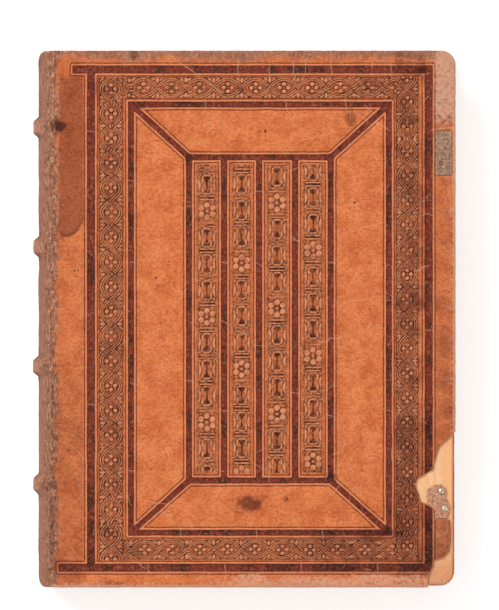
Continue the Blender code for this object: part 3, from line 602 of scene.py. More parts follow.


# Marks of use on the front, with some painted shade, in the photograph's pixels
frontMarks = {
    "abrasions": 110,
    # creases: dips in the leather, drawn dark along their lines as painted shade
    "creases": [  # path, depth and width in millimetres
        ([(188, 202.5), (262, 202), (336, 203.5), (383, 197), (418, 198.5), (455, 201.5)], 0.22, 0.55),
        ([(433, 175.5), (452, 176.5)], 0.3, 0.6),
        ([(430, 101.5), (455, 103.5)], 0.2, 0.7),
        ([(54, 365.5), (76, 364.5), (96, 366)], 0.3, 0.6),
        ([(54, 483), (74, 482.5), (95, 481)], 0.3, 0.6),
        ([(54, 246.5), (72, 246)], 0.25, 0.5),
        ([(54, 526), (66, 532), (80, 526)], 0.25, 0.5),
        ([(436, 519.8), (450.5, 519.4)], -0.3, 0.8),
        ([(429, 300), (455, 306)], 0.15, 0.6),
        ([(432, 384), (455, 381)], 0.15, 0.6),
    ],
    # wormholes: small dips, painted dark as the shade inside each hole
    "wormholes": [
        (265, 130.6, 0.85), (354, 202, 0.7), (155.5, 277.5, 0.85), (74.4, 270.3, 0.7), (77.6, 270.3, 0.55),
        (68, 450.2, 0.65), (107.6, 175, 0.6), (87.5, 298, 0.75), (149.8, 198.5, 0.45), (168, 261, 0.45),
        (173.6, 281.4, 0.4), (287, 498, 0.5), (439.8, 147.8, 0.4), (365.5, 410, 0.35), (159, 430, 0.35),
    ],
    "stains": [  # middle, half sizes
        (250, 503, 15, 9, 0.95), (350, 119, 6, 10, 0.8), (59, 125, 8, 9, 1.1), (328, 281, 3, 3, 0.5),
        (240, 512, 9, 5, 0.5), (264, 497, 9, 4, 0.5), (112, 330, 5, 18, 0.35), (405, 520, 12, 16, 0.6),
        (188, 158, 5, 4, 0.85), (330, 477, 6, 5, 0.95), (388, 531, 7, 5, 0.95), (134, 56, 5, 6, 0.85),
        (97, 88, 6, 7, 0.6), (142, 106, 5, 3, 0.7), (286, 499, 3, 4, 0.8), (200, 171, 5, 6, 0.5),
        (90, 118, 2, 22, 0.6), (398, 419, 4, 5, 0.7), (100, 246, 4, 8, 0.5), (170, 88, 6, 4, 0.6),
        (240, 88, 5, 5, 0.5), (62, 236, 4, 3, 0.8), (50, 125, 9, 9, 0.4), (48, 484, 11, 7, 0.8),
        # the long narrow mark at 51.5, 532 is a painted shadow along the joint groove
        (51.5, 532, 3, 42, 0.7), (50, 572, 9, 6, 0.5), (48, 246, 8, 6, 0.7), (46, 366, 7, 6, 0.55),
        (110, 57, 10, 4, 0.45), (112, 540, 12, 8, 0.5), (112, 583, 14, 3, 0.7), (190, 584, 20, 2.5, 0.5),
        (292, 584, 16, 2.5, 0.5), (372, 583, 12, 3, 0.55), (76, 60, 12, 5, 0.4), (220, 53, 26, 2.5, 0.4),
    ],
    "scratches": [  # from, to, width in millimetres
        (167.3, 53.3, 220.6, 91.2, 0.42), (321.8, 341, 344.8, 335, 0.65), (417, 269.5, 425, 266, 0.6),
        (60, 441, 72, 446, 0.35), (72, 446, 85, 460, 0.35), (356, 112, 364, 118, 0.6),
        (377, 123, 386, 128, 0.55), (366, 106, 372, 112, 0.45), (238, 62, 237, 74, 0.4),
        (269, 61, 269, 75, 0.45), (292.5, 63, 294, 76, 0.5), (305, 62, 305, 72, 0.35),
        (330, 61, 331, 73, 0.55), (372, 63, 371, 73, 0.4), (390, 62, 391, 76, 0.35),
        (303, 160, 312, 172, 0.35), (221, 320, 231, 326, 0.35), (256, 262, 262, 266, 0.35),
        (290, 236, 299, 240, 0.35), (186, 206, 194, 207, 0.3), (197, 210, 190, 224, 0.3),
        (147, 366, 176, 362, 0.3), (338, 442, 352, 470, 0.3), (140, 150, 152, 158, 0.3),
        (352, 300, 378, 296, 0.3), (341, 233, 383, 222, 0.28), (146, 500, 172, 505, 0.3),
        (200, 130, 235, 124, 0.28), (300, 140, 330, 133, 0.3), (430, 60, 452, 66, 0.4),
        (398, 58, 420, 61, 0.35),
    ],
    "ticks": [  # short pale breaks across the upright dark lines
        (90, 131), (131, 180), (130.5, 262), (187, 201), (223, 262), (259, 191), (258, 345), (294, 240),
        (294, 392), (330, 262), (389, 300), (388, 410), (428, 214), (429, 330), (90, 404), (130, 470),
        (223, 410), (188, 380), (330, 415),
    ],
    "lyingTicks": [
        (205, 104), (286, 105), (345, 104), (180, 532), (256, 532), (322, 533), (148, 567), (225, 567),
        (301, 567), (377, 567),
    ],
    "plateCreases": [(433, 129, 453, 127, 0.5), (434, 176, 452, 177, 0.6), (433, 130, 433.5, 175, 0.35)],
}

loss = {
    "outline": [
        (470, 430.5), (456, 430.8), (454.2, 431.2), (450.5, 435.5), (446.3, 439.2), (442, 443),
        (439, 445.8), (437, 451.5), (435, 458.4), (433.4, 464), (432.2, 469.4), (426.6, 472.6),
        (421.5, 475.6), (417.5, 477.8), (415.2, 482.9), (415.9, 487.8), (418.2, 493.2), (419.9, 501.2),
        (424, 502.6), (428.4, 505.2), (433.2, 508.6), (433.6, 514), (434.2, 519), (441, 518.2),
        (449.6, 519.4), (450.8, 531), (450.2, 543), (448.4, 551), (443.4, 556.4), (437, 559),
        (432.8, 559.8), (432.6, 564.8), (430.4, 570.4), (427.8, 576), (427.4, 584), (427.2, 594),
        (470, 594),
    ],
    "thickness": 1.25 * mm,
}


def pathDistance(across, along, path):
    # metres from a path given in the photograph's pixels
    points = [fromPhoto(*point) for point in path]
    gaps = [besideSegment(across, along, start, end)[0] for start, end in zip(points, points[1:])]
    return np.minimum.reduce(gaps)


def markFields(across, along):
    # side and distance, in widths of the nearest mark, and whether the mark is dark: the creases, drawn in
    # painted shade
    marks = [(*mark, 0.0) for mark in frontMarks["scratches"] + frontMarks["plateCreases"]]
    for name, reachX, reachY in (("ticks", 3.2, 0.4), ("lyingTicks", 0.4, 3.4)):
        for middleX, middleY in frontMarks[name]:
            marks.append((middleX - reachX, middleY - reachY, middleX + reachX, middleY + reachY, 0.36, 0.0))
    for path, _, _ in frontMarks["creases"]:
        marks += [(*first, *second, 0.34, 1.0) for first, second in zip(path, path[1:])]
    # small abrasions over the tooling
    randomMarks = np.random.default_rng(77)
    for _ in range(frontMarks["abrasions"]):
        middleX, middleY = randomMarks.uniform(86, 430), randomMarks.uniform(58, 572)
        turn, reach = randomMarks.uniform(0, math.pi), randomMarks.uniform(1.2, 4.0)
        reachX, reachY = reach * math.cos(turn), reach * math.sin(turn)
        width = randomMarks.uniform(0.22, 0.4)
        marks.append((middleX - reachX, middleY - reachY, middleX + reachX, middleY + reachY, width, 0.0))
    nearest = np.full(across.shape, 99.0)
    side = np.full(across.shape, 99.0)
    dark = np.zeros(across.shape)
    for startX, startY, endX, endY, width, darkness in marks:
        gap, off, _, _ = besideSegment(across, along, fromPhoto(startX, startY), fromPhoto(endX, endY))
        gap, off = gap / mm / width, off / mm / width
        closer = gap < nearest
        side = np.where(closer, off, side)
        dark = np.where(closer, darkness, dark)
        nearest = np.minimum(nearest, gap)
    return side, nearest, dark


# stains darken the leather; the long narrow one in the joint groove is a painted shadow
def stainAndShadowField(photoX, photoY, speckled):
    stains = []
    for middleX, middleY, halfX, halfY, strength in frontMarks["stains"]:
        around = np.hypot((photoX - middleX) / halfX, (photoY - middleY) / halfY)
        stains.append(strength * smoothStep(1.5, 0.35, around + speckled))
    return np.maximum.reduce(stains)


def insideOutline(across, along, points):
    inside = np.zeros(across.shape, bool)
    for (startX, startY), (endX, endY) in zip(points, points[1:] + points[:1]):
        crosses = (startY > along) != (endY > along)
        at = startX + (along - startY) / (endY - startY + 1e-12) * (endX - startX)
        inside ^= crosses & (across < at)
    return inside


# Leather wrapped over a board: a face, rounded edges, walls and turn-ins
edge = {
    "round": 1.8 * mm,
    "inner": 0.9 * mm,
    "turnIn": 7.0 * mm,
    "corner": 8.5 * mm,
    "capDepth": 4.4 * mm,
    "capTurnIn": 1.5 * mm,
    "strip": 2.9 * mm,  # how far past the joint the cover's leather reaches
    "roundSteps": 5,
    "wallSteps": 7,
    "innerSteps": 3,
    "turnInSteps": 5,
}


def edgeStages():
    # rows of outward shares of round, inner and turn-in; downward ones of round, wall and inner; and the tilt
    rows = [(0, 0, 0, 0, 0, 0, 0)]
    for step in range(1, edge["roundSteps"] + 1):
        turn = math.pi / 2 * step / edge["roundSteps"]
        rows.append((math.sin(turn), 0, 0, 1 - math.cos(turn), 0, 0, turn))
    for step in range(1, edge["wallSteps"] + 1):
        rows.append((1, 0, 0, 1, step / edge["wallSteps"], 0, math.pi / 2))
    for step in range(1, edge["innerSteps"] + 1):
        turn = math.pi / 2 * step / edge["innerSteps"]
        rows.append((1, math.cos(turn) - 1, 0, 1, 1, math.sin(turn), math.pi / 2 + turn))
    for step in range(1, edge["turnInSteps"] + 1):
        rows.append((1, -1, -step / edge["turnInSteps"], 1, 1, 1, math.pi))
    return np.array(rows)


stages = edgeStages()


# Heights and lengths of the leather's unevenness, in millimetres
relief = {
    "broad": 0.30, "broadLength": 46,
    "fine": 0.07, "fineLength": 7,
    "edge": 0.14, "edgeLength": 3.5,  # wrinkles over the edges and turn-ins
    "joint": 0.75, "jointWidth": 1.1, "jointShift": 0.2,  # the crease where a cover bends
    "jointWrinkle": 0.16, "jointWrinkleLength": 1.6,
    "rollGround": 0.1, "rollPressed": 0.30, "rollRaised": 0.2,
    "wormhole": 0.5,
    "plateDip": 0.75, "plateRim": 0.22,
    "backHighest": 0.12,  # the book lies on its back cover
}
paintShift = {"rim": (0, 0, 1.2), "back": (0, 0, 400)}  # so that the finish differs there


def stageOffsets(stage, depth, turnIn):
    # how far out and how far down the leather has gone
    out = edge["round"] * stage[..., 0] + edge["inner"] * stage[..., 1] + turnIn * stage[..., 2]
    down = edge["round"] * stage[..., 3] + (depth - edge["round"] - edge["inner"]) * stage[..., 4]
    return out, down + edge["inner"] * stage[..., 5]


def wrappedLines(lines, depth, turnIn, bothEnds=True):
    # a grid's lines with one more for each stage past their ends, and the stage of each line
    out, down = stageOffsets(stages, depth, turnIn)
    reach = np.cumsum(np.hypot(np.diff(out), np.diff(down)))
    count = len(reach)
    places = [lines, lines[-1] + reach]
    steps = [np.zeros(len(lines), int), np.arange(1, count + 1)]
    if bothEnds:
        places.insert(0, lines[0] - reach[::-1])
        steps.insert(0, np.arange(count, 0, -1))
    return np.concatenate(places), np.concatenate(steps)


def coverForm(columns, rows):
    # the undecorated surface of a cover's leather over a grid of lines, each with its past-the-face steps
    acrossLines, acrossSteps = wrappedLines(columns, coverDepth, edge["turnIn"], bothEnds=False)
    alongLines, alongSteps = wrappedLines(rows, coverDepth, edge["turnIn"])
    flatX, flatY = np.meshgrid(acrossLines, alongLines, indexing="ij")
    stepX, stepY = np.meshgrid(acrossSteps, alongSteps, indexing="ij")
    step = np.maximum(stepX, stepY)
    way = np.sign(flatY)
    cornerX, cornerY = foreX - edge["corner"], halfHeight - edge["corner"]
    overX, overY = flatX - cornerX, np.abs(flatY) - cornerY
    corner = (overX > 0) & (overY > 0)
    length = np.where(corner, np.hypot(overX, overY), 1)
    outX = np.where(corner, overX / length, (stepX > 0) * 1.0)
    outY = np.where(corner, way * overY / length, (stepY > 0) * way)
    radius = np.where(step == 0, np.maximum(overX, overY), edge["corner"] - edge["round"])
    baseX = np.where(corner, cornerX + radius * outX, np.minimum(flatX, columns[-1]))
    baseY = np.where(corner, way * cornerY + radius * outY, np.clip(flatY, rows[0], rows[-1]))
    share = smoothStep(jointX - edge["strip"], jointX + 0.5 * mm, baseX)
    depth = blendTo(edge["capDepth"], coverDepth, share)
    turnIn = blendTo(edge["capTurnIn"], edge["turnIn"], share)
    out, down = stageOffsets(stages[step], depth, turnIn)
    bend = spineRound + bands["rise"] * bandForm(baseY)
    cosine = np.clip((spineStart - baseX) / bend, 0, 1)
    sine = np.sqrt(1 - cosine ** 2)
    onSpine = baseX < spineStart
    pointX = np.where(onSpine, spineStart - (bend - down) * cosine, baseX + out * outX)
    pointZ = np.where(onSpine, middleZ + (middleZ - down) * sine, bookTop - down)
    tilt = stages[step][..., 6]
    normal = [np.sin(tilt) * outX - np.cos(tilt) * cosine, np.sin(tilt) * outY, np.cos(tilt) * sine]
    return {
        "points": np.stack([pointX, baseY + out * outY, pointZ], axis=-1),
        "normal": np.stack(normal, axis=-1), "step": step,
        "baseX": baseX, "baseY": baseY, "flatX": flatX, "flatY": flatY,
    }


def lineOffsets(half):
    # metres from a pressed line's middle to the places where its profile turns
    offsets = [0]
    for offset in (-0.35, 0.12, 0.6, 1.08, 1.52, 1.95):
        offsets += [half + offset, -half - offset]
    return [offset * mm for offset in offsets]


def coverLines(coarser=1.0):
    # a cover's grid: through all pressed lines, and closer over the rolls; zones in the photograph's pixels
    acrossZones = [
        (fromPhoto(low, 0)[0], fromPhoto(high, 0)[0], step * mm * coarser)
        for low, high, step in [(98, 126, 0.5), (197, 324, 0.5), (394, 418, 0.5), (436, 460, 0.95)]
    ]
    alongZones = [
        (fromPhoto(0, high)[1], fromPhoto(0, low)[1], step * mm * coarser)
        for low, high, step in [(76, 100, 0.5), (160, 476, 0.66), (538, 562, 0.5)]
    ]
    fixedAcross = [spineStart, jointX, foreX - edge["corner"]]
    fixedAlong = [edge["corner"] - halfHeight, halfHeight - edge["corner"]]
    for name in ("outer", "inner", "panel"):
        form = toolLines[name]
        for offset in lineOffsets(form["half"]):
            fixedAcross += [fromPhoto(form[side], 0)[0] + offset for side in ("left", "right")]
            fixedAlong += [fromPhoto(0, form[end])[1] + offset for end in ("head", "tail")]
    for bar in toolLines["bars"]:
        fixedAcross += [fromPhoto(bar, 0)[0] + offset for offset in lineOffsets(toolLines["barHalf"])]
    fixedAcross += [jointX + offset for offset in np.linspace(-edge["strip"], 4 * mm, 10)]
    columns = gridLines(jointX - edge["strip"], foreX - edge["round"], fixedAcross, acrossZones, 1.0 * mm)
    rows = gridLines(edge["round"] - halfHeight, halfHeight - edge["round"], fixedAlong, alongZones, 1.0 * mm)
    return columns, rows


def leatherHeight(across, along, lineDistance, seed):
    # how far the plain tooled surface stands above its form, in millimetres
    groove = -toolLines["depth"] * smoothStep(0.15, -0.32, lineDistance)
    ridge = toolLines["ridgeRise"] * bell(lineDistance - toolLines["ridgeAt"], toolLines["ridgeWidth"])
    thin = toolLines["thinDepth"] * bell(lineDistance - toolLines["thinAt"], toolLines["thinWidth"])
    broad = relief["broad"] * fractalNoise(across, along, relief["broadLength"], seed + 50)
    fine = relief["fine"] * fractalNoise(across, along, relief["fineLength"], seed + 60)
    return groove + ridge - thin + broad + fine


def jointCrease(baseX, baseY):
    # shallower on the bands
    past = (baseX - jointX) / mm - relief["jointShift"]
    return relief["joint"] * bell(past, relief["jointWidth"]) * (1 - 0.6 * bandForm(baseY))


def edgeWear(form):
    # wear on the rounded edges, greatest on the outer corners
    step = form["step"]
    onRound = bell((step - 2.5) / edge["roundSteps"], 0.75) * (step > 0)
    inward = np.minimum(foreX - form["baseX"], halfHeight - np.abs(form["baseY"])) / mm
    nearEdge = 1 - smoothStep(1.5, 6.0, inward)
    return np.maximum(onRound * 0.8, nearEdge * 0.45)


def frontHeight(form, lineDistance, pressed, raised, strip):
    # in millimetres: the tooled face with its rolls, bands, creases, wormholes and joint wrinkles
    baseX, baseY = form["baseX"], form["baseY"]
    across, along = baseX / mm, baseY / mm
    height = leatherHeight(across, along, lineDistance, 100)
    sunk = relief["rollGround"] + relief["rollPressed"] * smoothStep(0.22, -0.22, pressed)
    sunk = sunk - relief["rollRaised"] * smoothStep(0.25, -0.6, raised)
    height = height - strip * sunk - jointCrease(baseX, baseY) + bandSwelling(baseX, baseY) / mm
    for path, depth, width in frontMarks["creases"]:
        distance = pathDistance(baseX, baseY, path) / mm + 0.12 * valueNoise(across, along, 3.0, 71)
        height = height - depth * bell(distance, width)
    photoX, photoY = acrossPhoto(baseX), downPhoto(baseY)
    for middleX, middleY, size in frontMarks["wormholes"]:
        distance = np.hypot(photoX - middleX, photoY - middleY) * pixel / mm
        height = height - relief["wormhole"] * bell(distance, size)
    wrinkles = relief["jointWrinkle"] * fractalNoise(across, along * 0.12, relief["jointWrinkleLength"], 81)
    height = height + wrinkles * smoothStep(jointX + 12 * mm, jointX - 1 * mm, baseX)
    # the strap plate near the head lies in a dip of the leather
    low, high = (np.array(corner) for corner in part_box("strap_plate_head"))
    middle, halfSize = (low + high) / 2, (high - low) / 2
    offX, offY = np.abs(baseX - middle[0]) - halfSize[0], np.abs(baseY - middle[1]) - halfSize[1]
    plateGap = np.maximum(offX, offY) / mm
    dip = relief["plateDip"] * smoothStep(0.55, 0.1, plateGap)
    return height - dip + relief["plateRim"] * bell(plateGap - 1.0, 0.8)


def frontFields(form):
    baseX, baseY, step = form["baseX"], form["baseY"], form["step"]
    across, along = baseX / mm, baseY / mm
    photoX, photoY = acrossPhoto(baseX), downPhoto(baseY)
    lineDistance, lineDark = lineFields(across, along)
    pressed, raised, strip = rollFields(across, along)
    height = frontHeight(form, lineDistance, pressed, raised, strip)
    fade = smoothStep(4, 0, step)
    ragged = fractalNoise(across, along, 9, 91)
    speckled = fractalNoise(across, along, 3.0, 97)
    # regions of the photograph
    leftMargin, rightMargin = smoothStep(85, 81, photoX), smoothStep(431, 436, photoX)
    upperRight = smoothStep(430, 437, photoX + ragged * 2) * smoothStep(140, 112, photoY + ragged * 6)
    headEdge = smoothStep(66, 52, photoY + ragged * 5 + speckled * 2)
    tongue = smoothStep(429, 434, photoX) * smoothStep(516, 522, photoY) * smoothStep(572, 560, photoY)
    lowerEdge = photoY - 237 + 0.055 * (photoX - 66) ** 2 + ragged * 1.5
    darkPatch = smoothStep(84.5, 82.5, photoX) * smoothStep(56, 60, photoX)
    darkPatch = darkPatch * smoothStep(2, -1, lowerEdge) * smoothStep(66, 80, photoY)
    lowerRight = smoothStep(388, 398, photoX) * smoothStep(340, 450, photoY + ragged * 25)
    tailRoll = smoothStep(524, 532, photoY) * smoothStep(576, 570, photoY)
    rightRoll = smoothStep(392, 396, photoX) * smoothStep(430, 424, photoX)
    outerStrip = strip * (np.abs(photoX - 243) > 100)
    # how aged, dirty and rubbed each place is, with a painted shadow in the joint groove among the dirt: the
    # strongest of its causes
    age = [
        smoothStep(63.0, 51.5, photoX + 3.0 * ragged + 3.2 * speckled),
        headEdge,
        upperRight * 0.85,
        tongue * 0.5,
        smoothStep(1, 5, step) * 0.8,
        leftMargin * 0.1 + rightMargin * 0.16,
    ]
    grime = [
        darkPatch * (0.8 + 0.16 * bell(lowerEdge + 2.0, 2.5)),
        leftMargin * (0.24 + 0.24 * smoothStep(330, 420, photoY) + 0.2 * ragged),
        rightMargin * (0.32 + 0.25 * smoothStep(260, 380, photoY) + 0.3 * ragged),
        0.85 * lowerRight * smoothStep(436, 430, photoX) * (0.8 + 0.4 * ragged),
        tailRoll * smoothStep(200, 400, photoX) * (0.6 + 0.5 * ragged),
        rightRoll * (0.48 + 0.5 * ragged),
        outerStrip * (0.34 + 0.4 * ragged),
        smoothStep(66, 54, photoY + ragged * 5) * (0.3 + 0.3 * speckled),
        tongue * (0.6 + 0.3 * ragged),
        stainAndShadowField(photoX, photoY, 0.45 * speckled),
    ]
    worn = [
        edgeWear(form) * (1 - 0.55 * smoothStep(70, 60, photoY)),
        0.2 * smoothStep(0.6, 0.95, bandSwelling(baseX, baseY) / bands["swelling"]),
        (0.22 + 0.4 * smoothStep(120, 300, photoX + ragged * 60)) * smoothStep(568, 578, photoY + ragged * 4),
        0.6 * smoothStep(447, 453, photoX + ragged * 2) * smoothStep(300, 180, photoY),
        0.7 * upperRight,
        0.9 * smoothStep(438, 450, photoX) * smoothStep(75, 56, photoY),
        0.35 * smoothStep(440, 452, photoX),
    ]
    crusted = 1 - 0.6 * smoothStep(60, 68, photoX) * np.maximum(headEdge, smoothStep(0, 5, step))
    markSide, markGap, markDark = markFields(baseX, baseY)
    return height * fade, {
        "lineDistance": lineDistance + step * 3.0, "lineDark": lineDark, "pressed": pressed, "raised": raised,
        "strip": strip * fade, "crusted": crusted, "age": np.maximum.reduce(age),
        "grime": np.maximum.reduce(grime), "worn": np.maximum.reduce(worn),
        "markSide": markSide, "markGap": markGap + step * 3.0, "markDark": markDark,
    }


def backFields(form):
    baseX, baseY, step = form["baseX"], form["baseY"], form["step"]
    across, along = baseX / mm, baseY / mm
    lineDistance, lineDark = lineFields(across, along)
    height = np.minimum(leatherHeight(across, along, lineDistance, 300), relief["backHighest"])
    height = height - jointCrease(baseX, baseY)
    none, far = np.zeros(across.shape), np.full(across.shape, 9.0)
    aged = smoothStep(jointX + 0.4 * mm, jointX - 2.0 * mm, baseX)
    return height * smoothStep(4, 0, step), {
        "lineDistance": lineDistance + step * 3.0, "lineDark": lineDark, "pressed": far, "raised": far,
        "strip": none, "grime": none, "crusted": none + 0.4,
        "age": np.maximum(aged, smoothStep(2, 6, step) * 0.55),
        "worn": np.maximum(edgeWear(form), 0.35 + 0.3 * fractalNoise(across, along, 60, 333)),
    }


def tearAway(points, normal, faces, fields, outline):
    # take out what lies inside the outline, pull the rim on to it and wall the leather's thickness there
    inside = insideOutline(points[:, 0], points[:, 1], outline)
    near = np.full(len(points), 9.0)
    nearest = points[:, :2].copy()
    for start, end in zip(outline, outline[1:] + outline[:1]):
        gap, _, travelled, length = besideSegment(points[:, 0], points[:, 1], start, end)
        share = np.clip(travelled / length, 0, 1)[:, None]
        closer = gap < near
        near = np.where(closer, gap, near)
        nearest[closer] = (np.array(start) + share * np.subtract(end, start))[closer]
    faces = faces[~inside[faces].all(axis=1)]
    mixed = faces[inside[faces].any(axis=1)]
    snapped = np.zeros(len(points), bool)
    snapped[mixed.ravel()] = True
    snapped &= inside
    points[snapped, :2] = nearest[snapped]
    fields["torn"] = np.where(snapped, 0, near / mm)
    starts, ends = mixed.ravel(), np.roll(mixed, -1, axis=1).ravel()
    rim = [(a, b) for a, b in zip(starts.tolist(), ends.tolist()) if snapped[a] and snapped[b]]
    known = set(rim)
    rim = [(a, b) for a, b in rim if (b, a) not in known]
    upper = sorted({corner for pair in rim for corner in pair})
    lower = {index: len(points) + number for number, index in enumerate(upper)}
    walls = [(b, a, lower[a], lower[b]) for a, b in rim]
    points = np.concatenate([points, points[upper] - normal[upper] * loss["thickness"]])
    fields = {label: np.concatenate([values, values[upper]]) for label, values in fields.items()}
    fields["hide"][-len(upper):] += paintShift["rim"]
    return points, np.concatenate([faces, np.array(walls)]), fields


def makeCoverLeather(name, form, height, fields, material, keep=slice(None), back=False, outline=None):
    # one leather mesh from the kept columns; an outline tears part of it away
    flatX, flatY = form["flatX"], form["flatY"]
    wrinkles = relief["edge"] * fractalNoise(flatX / mm, flatY / mm, relief["edgeLength"], 90)
    wrinkles = wrinkles * smoothStep(2, 6, form["step"])
    points = (form["points"] + form["normal"] * (height + wrinkles)[..., None] * mm)[keep]
    faces = gridFaces(*points.shape[:2], flip=back)
    points, normal = points.reshape(-1, 3), form["normal"][keep].reshape(-1, 3)
    fields = {label: values[keep].reshape(-1) for label, values in fields.items()}
    fields["hide"] = np.stack([flatX, flatY, flatX * 0], axis=-1)[keep].reshape(-1, 3) / mm
    fields["torn"] = np.full(len(points), 9.0)
    if outline:
        points, faces, fields = tearAway(points, normal, faces, fields, outline)
    if back:
        points = points * (1, 1, -1) + (0, 0, bookTop)
        fields["hide"] = fields["hide"] + paintShift["back"]
    mesh = meshFrom(name, points, faces, fields)
    cleanMesh(mesh, slivers=0.002 * mm)
    return addObject(name, mesh, [material])


# Leather finishes
leatherLook = {
    "plainDeep": tone(214, 108, 56),
    "plainLight": tone(242, 140, 84),
    "plainPale": tone(250, 158, 102),
    "specks": tone(160, 72, 38),
    "ageDeep": tone(140, 86, 62),
    "ageLight": tone(212, 146, 114),
    "agePale": tone(226, 188, 154),
    "ageCrease": tone(78, 44, 34),
    # grime tones multiply the leather where dirt and painted shade lie
    "grime": tone(186, 172, 182),
    "grimeDeep": tone(110, 92, 88),
    "lineRed": tone(112, 30, 16),
    "lineBrown": tone(132, 58, 40),
    "lineBlack": tone(32, 14, 12),
    # ridge: a painted highlight along the ridge beside each pressed line
    "ridge": tone(230, 148, 112),
    "thin": tone(92, 32, 18),
    "rollGround": tone(186, 98, 56),
    "rollGrime": tone(122, 78, 52),
    "pressed": tone(62, 22, 14),
    "raised": tone(230, 150, 108),
    "worn": tone(226, 168, 138),
    "torn": tone(190, 118, 74),
    "scratch": tone(232, 172, 142),
    # hole: painted shade inside the wormholes
    "hole": tone(36, 16, 12),
    "patinaSize": 1.7,
    "pitted": 0.15,
    "scuffed": 0.15,
    "roughness": 0.5,
    "specular": 0.1,
    "poreSize": 0.55,
    "crinkleSize": 2.2,
    "streaky": False,
}


def patchy(tree, place, amount, size, share):
    # part of an amount broken into patches, the rest as it is
    patches = useEffect(tree, wearEffect, place, amount=amount, size=size)["Mask"]
    return scaled(tree, patches, share, times(tree, amount, 1 - share))


def makeLeather(name, marks=None, **changes):
    look = {**leatherLook, **changes}
    material, tree, shader = newMaterial(name)
    place = attribute(tree, "hide", "Vector")
    grain = useEffect(tree, grainEffect, place, poreSize=look["poreSize"], crinkleSize=look["crinkleSize"])
    colour = mixTone(tree, mask(tree, grain["Mottle"], 0.3, 0.66), look["plainDeep"], look["plainLight"])
    cloudy = mask(tree, noise(tree, stretch(tree, place, (0.4, 1.0, 1.0)), 1.3, 4, 0.75), 0.46, 0.64)
    clouds = mask(tree, noise(tree, place, 0.24, 5, 0.72), 0.5, 0.68)
    colour = paint(tree, colour, (look["specks"], cloudy, 0.46), (look["specks"], clouds, 0.3))
    patina = useEffect(tree, patinaEffect, place, size=look["patinaSize"])
    colour = paint(
        tree, colour, (look["specks"], patina["Pits"], 0.3), (look["plainPale"], patina["Scuffs"], 0.5),
        (look["specks"], grain["Specks"], 0.42),
    )
    # aged leather: long streaks, pale scuffs and fine creases
    streaks = noise(tree, stretch(tree, place, (1.0, 0.22, 1.0)), 0.7, 5, 0.7)
    crusted = attribute(tree, "crusted")
    streaked = scaled(tree, calc(tree, "SUBTRACT", mask(tree, streaks, 0.36, 0.64), 0.5), crusted, 0.5)
    ageTone = mixTone(tree, streaked, look["ageDeep"], look["ageLight"])
    crust = useEffect(tree, patinaEffect, place, size=2.6)
    ageTone = paint(tree, ageTone, (look["ageCrease"], crust["Pits"], times(tree, crusted, 0.66)))
    ageTone = paint(tree, ageTone, (look["agePale"], crust["Scuffs"], times(tree, crusted, 0.9)))
    folded = offBy(tree, noise(tree, stretch(tree, place, (1.0, 0.34, 1.0)), 0.42, 3, 0.6), 0.5)
    folds = mask(tree, folded, 0.034, 0.004)
    ageTone = paint(tree, ageTone, (look["ageCrease"], folds, times(tree, crusted, 0.75)))
    ageMask = patchy(tree, place, attribute(tree, "age"), 3.0, 0.45)
    colour = mixTone(tree, ageMask, colour, ageTone)
    # rolls
    strip = attribute(tree, "strip")
    settled = useEffect(tree, grimeEffect, place, size=7.0, cover=0.46)["Mask"]
    jitter = scaled(tree, noise(tree, place, 1.3, 3, 0.7), 0.5, -0.25)
    ground = mixTone(tree, settled, look["rollGround"], look["rollGrime"])
    colour = paint(tree, colour, (ground, strip, 0.72))
    rubbed = mask(tree, noise(tree, place, 0.16, 5, 0.75), 0.36, 0.56)
    shown = times(tree, strip, scaled(tree, rubbed, 0.6, 0.38))
    raised = mask(tree, calc(tree, "ADD", attribute(tree, "raised"), jitter), 0.16, -0.16)
    colour = paint(tree, colour, (look["raised"], raised, shown))
    pressed = mask(tree, calc(tree, "ADD", attribute(tree, "pressed"), jitter), 0.16, -0.12)
    pressed = times(tree, pressed, shown)
    colour = mixTone(tree, pressed, colour, look["pressed"])
    caught = times(tree, strip, 0.42)
    colour = paint(tree, colour, (look["pressed"], patina["Pits"], caught))
    colour = paint(tree, colour, (look["raised"], patina["Scuffs"], caught))
    # pressed lines, each with a ridge lit by a painted highlight and a thin line beside it
    lineDistance = attribute(tree, "lineDistance")
    thin = mask(tree, offBy(tree, lineDistance, toolLines["thinAt"]), 0.46, 0.18)
    faint = mask(tree, noise(tree, place, 0.35, 4, 0.7), 0.25, 0.5)
    colour = paint(tree, colour, (look["thin"], thin, scaled(tree, faint, 0.45, 0.4)))
    # a painted highlight along each line's ridge
    ridge = mask(tree, offBy(tree, lineDistance, toolLines["ridgeAt"]), 0.4, 0.16)
    colour = paint(tree, colour, (look["ridge"], ridge, scaled(tree, faint, 0.5, 0.2)))
    groove = mask(tree, lineDistance, 0.2, -0.06)
    reddish = mask(tree, noise(tree, place, 0.45, 4, 0.65), 0.38, 0.62)
    lineTone = mixTone(tree, reddish, look["lineRed"], look["lineBrown"])
    ragged = scaled(tree, noise(tree, place, 0.4, 5, 0.8), 6.4, -3.2)
    darkShare = mask(tree, calc(tree, "ADD", attribute(tree, "lineDark"), ragged), 0.1, 1.1)
    sideShare = times(tree, mask(tree, lineDistance, -0.75, -0.1), 0.55)
    darkShare = strongest(tree, times(tree, darkShare, 0.85), sideShare)
    lineTone = mixTone(tree, darkShare, lineTone, look["lineBlack"])
    lineTone = paint(tree, lineTone, (look["worn"], patina["Scuffs"], 0.16))
    colour = paint(tree, colour, (lineTone, groove, 0.96))
    # dirt and painted shade darken the leather by multiplying it
    grimeAndShadeAmount = attribute(tree, "grime")
    grimeAndShadeMask = patchy(tree, place, grimeAndShadeAmount, 3.2, 0.4)
    grimeAndShadeTone = mixTone(tree, mask(tree, grimeAndShadeAmount, 0.72, 1.12), look["grime"], look["grimeDeep"])
    colour = mixTone(tree, grimeAndShadeMask, colour, grimeAndShadeTone, "MULTIPLY")
    colour = paint(tree, colour, (look["pressed"], patina["Pits"], look["pitted"]))
    colour = paint(tree, colour, (look["worn"], patina["Scuffs"], look["scuffed"]))
